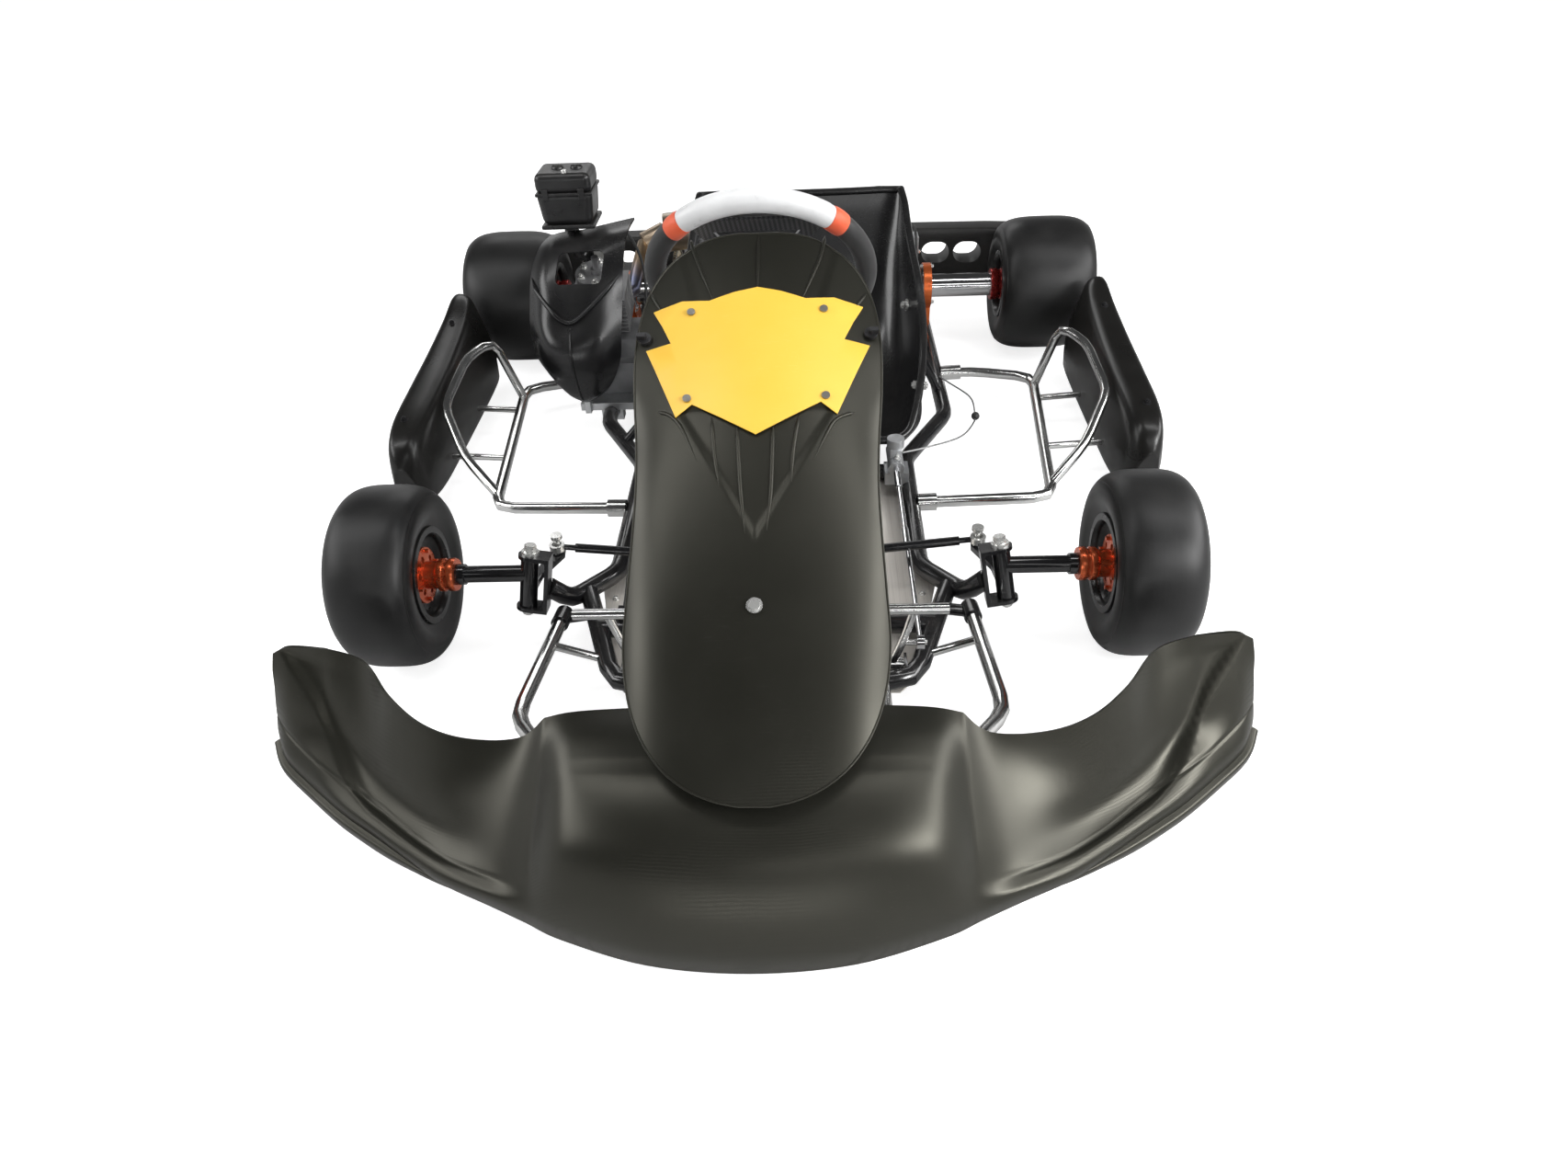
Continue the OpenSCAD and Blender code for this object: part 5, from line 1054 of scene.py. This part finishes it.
def airboxShell(size):
    (x0, y0, z0), (x1, y1, z1) = size["low"], size["high"]
    out, top = size["flange"], size["lidTop"]
    parts = [roundedBlock("airboxBody", size["low"], size["high"], size["corner"], 7),
             roundedBlock("airboxLid", (x0 + 2, y0 + 1, z1 - 6), (x1 - 1, y1 - 1, top), 0.0125, -0.5),
             roundedBlock("airboxSeam", (x0 + 0.5, y0 - 0.6, z1 - 9), (x1 + 0.5, y1 + 1, z1 - 3), 0.0022, 0, 3),
             roundedBlock("airboxFlange", (x0 + 6 - out, y0 - 1, z0 - 6), (x1 - 6 + out, y1 + 1, z0 + 2), 0.0028, 0, 3)]
    for x in size["bumps"]:
        profile = [(size["bumpWidth"] * r, z) for r, z in bumpProfile]
        parts.append(latheAround("lidBump", profile, Matrix.Translation(place(x, 812, top)), 28))
        smoothEdges(parts[-1], 60)
    parts += [roundedBlock("lidClip", (x - 6, y - 2, z1 - 16), (x + 6, y + 2, z1 + 5), 0.0014, 0, 2)
              for x in (x0 + 20, x1 - 20) for y in (y0 - 0.5, y1 + 0.5)]
    path = smoothRow(bentPath([place(*q) for q in size["route"]], 0.028, 10), 3)
    widths = [1 + size["corrugation"] * math.sin(i * 1.6) for i in range(len(path))]
    parts.append(sweepTube("airboxNeck", path, size["neck"], 24, widths=widths))
    for part in parts:
        paint(part, "airboxBlack")
    screw = latheAround("lidScrew", screwProfile, Matrix.Translation(place(*size["screw"], top)), 18)
    return carried(joined("airboxShell", parts + [paint(screw, "zincSteel")]), "airbox")


# cords, each on the route that the CAD gives it

cords = {
    "brakeHose": {"node": "brake_hose", "finish": "cordBlack", "radius": 0.003, "stiffness": "medium", "ease": 40,
                  "route": ((218, 405.3, 94), (218, 413, 94), (235, 441, 88), (274, 520, 82), (286, 620, 78),
                            (292, 760, 76), (294, 900, 78), (298, 976, 84), (306, 1008, 130), (309, 1014, 190),
                            (308, 1050, 258), (306, 1110, 266), (305, 1130, 248), (305, 1130, 235.4))},
    "throttleCable": {"node": "throttle_cable", "finish": "cordBlack", "radius": 0.003, "stiffness": "medium",
                      "ease": 40,
                      "route": ((-208, -23, 84), (-210, 20, 82), (-218, 100, 80), (-222, 200, 78), (-222, 300, 76),
                                (-222, 400, 76), (-236, 500, 72), (-252, 600, 74), (-258, 680, 96), (-258, 760, 210),
                                (-266, 840, 290), (-306, 900, 338), (-348, 926, 346), (-352, 928, 317))},
    "safetyCable": {"node": "safety_cable", "finish": "cableSteel", "radius": 0.0016, "stiffness": "stiff", "ease": 4,
                    "bead": (391, 583, 60),
                    "route": ((338, 742, 68), (352, 700, 74), (390, 650, 66), (391, 592, 60), (391, 574, 60),
                              (350, 480, 74), (274, 410, 92), (233.4, 390, 95))}}
beadHalf = [(0.0016, 0.011), (0.0024, 0.010), (0.0026, 0.008), (0.0055, 0.0062), (0.0076, 0.003)]


def runLength(points):
    return sum((b - a).length for a, b in zip(points[:-1], points[1:]))


def easedPath(points, spacing, passes):
    # the same route at even spacing with its bends opened out; its ends keep their place and direction
    line = [points[0]]
    for q in points[1:]:
        while (q - line[-1]).length > spacing:
            line.append(line[-1] + (q - line[-1]).normalized() * spacing)
    line.append(points[-1])
    for turn in range(passes):
        inner = [(a + b * 2 + c) / 4 for a, b, c in zip(line[1:-3], line[2:-2], line[3:-1])]
        line = line[:2] + inner + line[-2:]
    return line


def crimpedBead(look):
    # ball crimped on the wire
    profile = [(r, -z) for r, z in beadHalf] + [(0.008, 0)] + beadHalf[::-1]
    bead = paint(latheAround("safetyBall", profile, leaning(place(*look["bead"]), 90), 24, closed=True), "cordBlack")
    smoothEdges(bead, 40)
    return carried(bead, body=nodeBodies[look["node"]], slot="cord_black")


def routedCord(name, look):
    path = easedPath(smoothRow([place(*q) for q in look["route"]], 6), 0.006, look["ease"])
    made = paint(sweepTube(name, path, look["radius"], 14), look["finish"])
    extra = [crimpedBead(look)] if "bead" in look else []
    carried(made, look["node"])
    round(runLength(path), 3)
    print("cord", name, "runs", round(runLength(path), 3), "m")


# repeated small parts, grown with geometry nodes

def sizeTree(name, sizes):
    # an empty tree with a named input for each size and for the finish
    tree = bpy.data.node_groups.new(name, "GeometryNodeTree")
    tree.interface.new_socket(name="Geometry", in_out="INPUT", socket_type="NodeSocketGeometry")
    keys = {}
    for label in [*sizes, "Finish"]:
        kind = "NodeSocketMaterial" if label == "Finish" else "NodeSocketFloat"
        keys[label] = tree.interface.new_socket(name=label, in_out="INPUT", socket_type=kind).identifier
    tree.interface.new_socket(name="Geometry", in_out="OUTPUT", socket_type="NodeSocketGeometry")
    given = addNode(tree, "NodeGroupInput").outputs
    return tree, keys, {label: Signal(tree, given[label]) for label in ["Geometry", *keys]}


def drum(tree, sides, radius, depth, lift, flat=1.0):
    # upright cylinder with its foot at the height given
    body = signal(tree, "GeometryNodeMeshCylinder", {"Vertices": sides, "Radius": radius, "Depth": depth})
    offset = signal(tree, "ShaderNodeCombineXYZ", {2: depth * 0.5 + lift})
    return signal(tree, "GeometryNodeTransform", {"Geometry": body, "Translation": offset, "Scale": (1, flat, 1)})


def together(tree, shapes):
    join = addNode(tree, "GeometryNodeJoinGeometry")
    for shape in shapes:
        feed(join, {0: shape})
    return Signal(tree, join.outputs[0])


def aligned(tree, way, axis, **feeds):
    return signal(tree, "FunctionNodeAlignRotationToVector", {"Vector": way, **feeds}, axis=axis,
                  pivot_axis="Z" if feeds else "AUTO")


def closeTree(tree, points, shape, turn, scale, finish):
    copies = signal(tree, "GeometryNodeInstanceOnPoints", {"Points": points, "Instance": shape, "Rotation": turn,
                                                           "Scale": scale})
    real = signal(tree, "GeometryNodeRealizeInstances", {0: copies})
    addNode(tree, "NodeGroupOutput", {0: signal(tree, "GeometryNodeSetMaterial", {"Geometry": real,
                                                                                  "Material": finish})})


def grown(made, tree, keys, sizes, finish):
    grow = made.modifiers.new("grow", "NODES")
    grow.node_group = tree
    for label, value in {**sizes, "Finish": finishes[finish]}.items():
        grow[keys[label]] = value
    bakeModifiers(made)
    smoothEdges(made)
    return made


boltSizes = {"Across": 0.008, "Head Height": 0.0045, "Washer Width": 0.0135, "Washer Height": 0.0012,
             "Thread Width": 0.005, "Thread Length": 0.0016}


def boltTree():
    tree, keys, sizes = sizeTree("boltHeads", boltSizes)
    across, head, foot = sizes["Across"], sizes["Head Height"], sizes["Washer Height"]
    # the turned collar rounds the corners of the hexagon
    shapes = [drum(tree, 20, sizes["Washer Width"] * 0.5, foot, 0.0), drum(tree, 6, across * 0.577, head, foot),
              drum(tree, 16, across * 0.515, head * 1.06, foot),
              drum(tree, 10, sizes["Thread Width"] * 0.5, sizes["Thread Length"], foot + head)]
    facing, scale = (signal(tree, "GeometryNodeInputNamedAttribute", {"Name": name}, data_type=kind)
                     for name, kind in (("facing", "FLOAT_VECTOR"), ("scale", "FLOAT")))
    closeTree(tree, sizes["Geometry"], together(tree, shapes), aligned(tree, facing, "Z"), scale, sizes["Finish"])
    return tree, keys


def markedPoints(name, marks):
    # bare points, each with the way it faces and its scale
    made = newObject(name, [q for q, way, scale in marks], [])
    facing = made.data.attributes.new("facing", "FLOAT_VECTOR", "POINT")
    facing.data.foreach_set("vector", [c for q, way, scale in marks for c in way])
    sizes = made.data.attributes.new("scale", "FLOAT", "POINT")
    sizes.data.foreach_set("value", [scale for q, way, scale in marks])
    return made


skins = {}


def landOn(node, start, way, scale, sink):
    # where a straight line from start first meets a CAD node, facing back along it
    if node not in skins:
        mesh = frame["nodes"][node].data
        skins[node] = BVHTree.FromPolygons([v.co for v in mesh.vertices], [p.vertices for p in mesh.polygons])
    hit, normal, index, gap = skins[node].ray_cast(place(*start), Vector(way))
    if hit is None:
        print("no surface for a bolt on", node, start)
        return []
    if normal.dot(Vector(way)) > 0:
        normal = -normal
    return [(hit - normal * sink, normal, scale)]


# bolt group: finish and body
boltGroups = {"chassis": ("zincSteel", "chassis"), "axle": ("zincSteel", "axle_group"),
              "steering": ("zincSteel", "steering"), "dark": ("blackSteel", "chassis")}


def ringAt(x, y, z, *ring):
    return [(x, y + dy, z + dz) for dy, dz in ringPoints(*ring)]


# group, node, way and scale of the bolts, then where their lines start in mm: the pairs are mirrored at the x given
down, left, right = (0, 0, -1), (1, 0, 0), (-1, 0, 0)
boltPairs = (
    ("chassis", "floor_tray", down, 0.8, 0, [(240, 60, 70), (240, 200, 70), (240, 340, 70), (120, 392, 70),
                                             (190, -120, 70)]),
    ("chassis", "rear_bumper", (0, -1, 0), 1.3, 0, [(x, 1400, 150) for x in (120, 332, 560)]),
    ("dark", "side_pods", down, 1.1, 0, [(662, 430, 300), (662, 770, 300)]),
    ("chassis", "seat", right, 1.8, 55, [(400, 540, 150), (400, 800, 200)]),
    ("chassis", "seat", left, 1.8, 55, [(0, 540, 150), (0, 800, 200)]),
    ("chassis", "bearing_hangers", right, 0.9, 0, ringAt(400, 1050, 142, 3, 45, 90)),
    ("chassis", "bearing_hangers", left, 0.9, 0, ringAt(300, 1050, 142, 3, 45, 90)),
    ("axle", "brake_disc", right, 0.8, 288, ringAt(60, 1050, 142, 6, 62, 15)),
    ("axle", "rear_sprocket", right, 0.8, -212, ringAt(60, 1050, 142, 6, 60)))
boltSingles = (
    ("chassis", "brake_caliper", right, 1.0, [(420, 1092, 128), (420, 1120, 150), (420, 1120, 196)]),
    ("chassis", "master_cylinder", down, 0.9, [(220, 350, 220), (220, 390, 220)]),
    ("chassis", "engine_crankcase", left, 0.8, ringAt(-500, 776, 136, 6, 38, 20)),
    ("chassis", "engine_crankcase", right, 0.8, ringAt(-200, 776, 136, 8, 51, 10)),
    ("chassis", "engine_mount", down, 1.1, [(x, y, 140) for x in (-386, -276) for y in (656, 758)]))
boltSinks = {"rear_bumper": 0.006}
cylinderHead = {"foot": (-342, 776, 194), "tilt": 14, "rise": 0.1138, "ring": 34}
wheelBolts = ((0.8, ringPoints(6, 22, 30)), (0.7, [(-118, 47), (118, 47), (-56, -116), (56, -116)]))


def bolts():
    marks = {group: [] for group in boltGroups}
    singles = list(boltSingles)
    for group, node, way, scale, middle, starts in boltPairs:
        for side in (-1, 1):
            singles.append((group, node, (side * way[0], *way[1:]), scale,
                            [(middle + side * x, y, z) for x, y, z in starts]))
    for group, node, way, scale, starts in singles:
        for start in starts:
            marks[group] += landOn(node, start, way, scale, boltSinks.get(node, 0.0002))
    tilt, head = math.radians(cylinderHead["tilt"]), place(*cylinderHead["foot"])
    up = Vector((0, -math.sin(tilt), math.cos(tilt)))
    for dx, dy in ringPoints(6, cylinderHead["ring"], 30):
        foot = head + Vector((dx, dy * math.cos(tilt), dy * math.sin(tilt))) / 1000 + up * cylinderHead["rise"]
        marks["chassis"].append((foot, up, 1.2))
    for scale, places in wheelBolts:
        marks["steering"] += [(onWheel(x, y, -1.2), wheelUp, scale) for x, y in places]
    tree, keys = boltTree()
    for group, (finish, body) in boltGroups.items():
        made = grown(markedPoints(group + "Bolts", marks[group]), tree, keys, boltSizes, finish)
        carried(made, body=body, slot="fixing_steel")
        print(group, "bolts:", len(marks[group]))


def linePath(name, points, closed):
    n = len(points)
    return newObject(name, points, [], [(i, (i + 1) % n) for i in range(n if closed else n - 1)])


def strungTree(name, sizes, shapeMaker, across, alternate):
    # one shape after another along a line, set square to the direction across
    tree, keys, given = sizeTree(name, sizes)
    curve = signal(tree, "GeometryNodeMeshToCurve", {0: given["Geometry"]})
    even = signal(tree, "GeometryNodeResampleCurve", {"Curve": curve, "Length": given["Spacing"]}, mode="LENGTH")
    turn = aligned(tree, signal(tree, "GeometryNodeInputTangent"), "X", Rotation=aligned(tree, across, "Z"))
    odd = signal(tree, "GeometryNodeInputIndex").calc("FLOORED_MODULO", 2.0)
    scale = signal(tree, "ShaderNodeCombineXYZ", {0: 1.0, 1: 1.0, 2: odd * -alternate + 1.0})
    closeTree(tree, even, shapeMaker(tree, given), turn, scale, given["Finish"])
    return tree, keys


chainSizes = {"Spacing": 0.007774, "Plate Length": 0.0112, "Plate Thickness": 0.0009, "Half Width": 0.0032,
              "Roller Width": 0.0046}
chainLine = {"x": -225, "engine": (790, 122, 15.0), "axle": (1050, 142, 96.6), "narrow": 0.28}


def linkShape(tree, given):
    half, thick, wide = given["Plate Length"] * 0.5, given["Plate Thickness"], given["Half Width"]
    plates = [drum(tree, 14, half, thick, lift, 0.6) for lift in (wide, (wide + thick) * -1.0)]
    return together(tree, plates + [drum(tree, 12, given["Roller Width"] * 0.5, wide * 2.0, wide * -1.0)])


def driveChain(line):
    (y0, z0, r0), (y1, z1, r1) = line["engine"], line["axle"]
    base = math.degrees(math.atan2(z1 - z0, y1 - y0))
    wrap = 90 + math.degrees(math.asin((r1 - r0) / math.hypot(y1 - y0, z1 - z0)))
    loop = [(y1 + a, z1 + b) for a, b in arcPoints(r1, base + wrap, -2 * wrap, 60)]
    loop += [(y0 + a, z0 + b) for a, b in arcPoints(r0, base - wrap, 2 * wrap - 360, 16)]
    points = []
    for (y, z), (ny, nz) in zip(loop, loop[1:] + loop[:1]):
        steps = max(1, int(math.hypot(ny - y, nz - z) / 8))
        points += [place(line["x"], y + (ny - y) * j / steps, z + (nz - z) * j / steps) for j in range(steps)]
    tree, keys = strungTree("chainLinks", chainSizes, linkShape, (1, 0, 0), line["narrow"])
    return carried(grown(linePath("driveChain", points, True), tree, keys, chainSizes, "chainSteel"), "chain")


stitchSizes = {"Spacing": 0.0052, "Thread": 0.00055, "Length": 0.0034}


def stitchShape(tree, given):
    thread = signal(tree, "GeometryNodeMeshCylinder", {"Vertices": 6, "Radius": given["Thread"],
                                                       "Depth": given["Length"]})
    return signal(tree, "GeometryNodeTransform", {"Geometry": thread, "Rotation": (0.5, 0, 0)})


def gripStitches(look):
    # cross stitches along the inside of the steering wheel's hide
    inside = look["radius"] - look["grip"] - 0.1
    start, span = -88 + look["half"] + look["band"], 356 - 2 * look["half"] - 2 * look["band"]
    points = [onWheel(x, y, 0) for x, y in arcPoints(inside, start, span, 90)]
    tree, keys = strungTree("gripStitches", stitchSizes, stitchShape, tuple(wheelUp), 0.0)
    made = grown(linePath("gripStitches", points, False), tree, keys, stitchSizes, "threadGrey")
    return carried(made, body="steering", slot="rim_grip")


# tyres

tyres = {"wall": 6, "rim": 127, "points": 44, "segments": 128, "ridge": 0.45, "shoulder": 0.56,
         "front": (268, 124, 540.5, 134, 0), "rear": (284, 207, 590.5, 142, 1050)}


def tyreCurve(radius, width, beadWidth, values):
    # squarish outline from bead to bead
    seat = tyres["rim"] / 2 + 8.5
    made = []
    for a in values:
        x, y = math.copysign(abs(math.cos(a)) ** 0.62, math.cos(a)), abs(math.sin(a)) ** 0.5
        made.append([seat + (radius - seat) * y, width / 2 * x * (1 - (1 - beadWidth / width) * (1 - y) ** 3)])
    return made


def tyreSection(d, w, size):
    r, rb = d / 2, size["rim"] / 2
    shoulders = (size["shoulder"], math.pi - size["shoulder"])
    values = sorted([math.pi * k / size["points"] for k in range(size["points"] + 1)]
                    + [middle + step for middle in shoulders for step in (-0.012, -0.005, 0.0, 0.005, 0.012)])
    outer = tyreCurve(r, w, w - 24, values)
    for point, a in zip(outer, values):
        # moulding line round each shoulder
        near = min(abs(a - middle) for middle in shoulders)
        if near < 0.008:
            point[0] += size["ridge"] * (1.0 if near < 0.002 else 0.8)
            point[1] *= 1.003
    inner = tyreCurve(r - size["wall"], w - 12, w - 36, [math.pi * k / 16 for k in range(17)])
    section = [[rb, w / 2 - 12]] + outer + [[rb, 12 - w / 2], [rb, 25 - w / 2]] + inner[::-1] + [[rb, w / 2 - 25]]
    return [(a / 1000, b / 1000) for a, b in section]


def oneTyre(name, which, side):
    d, w, x, z, y = tyres[which]
    turn = leaning(place(side * x, y, z), 90, "Y")
    made = latheAround(name, tyreSection(d, w, tyres), turn, tyres["segments"], closed=True)
    smoothEdges(made, 40)
    return paint(made, which + "Tyre")


def allTyres():
    for side, word in ((1, "left"), (-1, "right")):
        carried(oneTyre("frontTyre" + word.title(), "front", side), "front_tyre_" + word)
    carried(joined("rearTyres", [oneTyre("rearTyreA", "rear", 1), oneTyre("rearTyreB", "rear", -1)]), "rear_tyres")


# steering wheel

wheel = {"radius": 159, "grip": 16, "half": 40, "band": 9, "sides": 28, "hub": (0, 318.6, 451.1), "lean": -58.3}
wheelTurn = leaning(place(*wheel["hub"]), wheel["lean"])
wheelUp = (wheelTurn.to_3x3() @ Vector((0, 0, 1))).normalized()


def onWheel(x, y, z):
    return wheelTurn @ Vector((x / 1000, y / 1000, z / 1000))


def gripArc(name, start, span, radius, finish, swell=0.0):
    steps = max(6, int(span / 3))
    path = [onWheel(x, y, 0) for x, y in arcPoints(wheel["radius"], start, span, steps)]
    widths = [(1 - 0.05 * math.exp(-(min(t, 1 - t) * span / 1.2) ** 2)) * (1 + swell * math.sin(math.pi * t) ** 2)
              for t in (i / steps for i in range(steps + 1))]
    return paint(sweepTube(name, path, radius / 1000, wheel["sides"], widths=widths), finish)


def steeringWheel(look):
    half, band, grip = look["half"], look["band"], look["grip"]
    carried(gripArc("steeringRim", -90 + half + band, 360 - 2 * half - 2 * band, grip, "rimGrip"), "steering_rim")
    carried(gripArc("steeringGrip", -90 - half, 2 * half, grip + 0.9, "gripSilver", 0.01), "steering_grip")
    bands = [gripArc("bandPart", a, band, grip + 1.4, "bandOrange") for a in (-90 + half, -90 - half - band)]
    carried(joined("steeringBands", bands), "steering_bands")


frontFairing(fairing)
frontPanel(panel)
seatShell(seat)
sidePods(pod)
engineCowl(cowl)
airboxShell(airbox)
rearBumper(bumper)
allTyres()
steeringWheel(wheel)
for cordName, cordLook in cords.items():
    routedCord(cordName, cordLook)
bolts()
driveChain(chainLine)
gripStitches(wheel)
print("main pieces shaped")
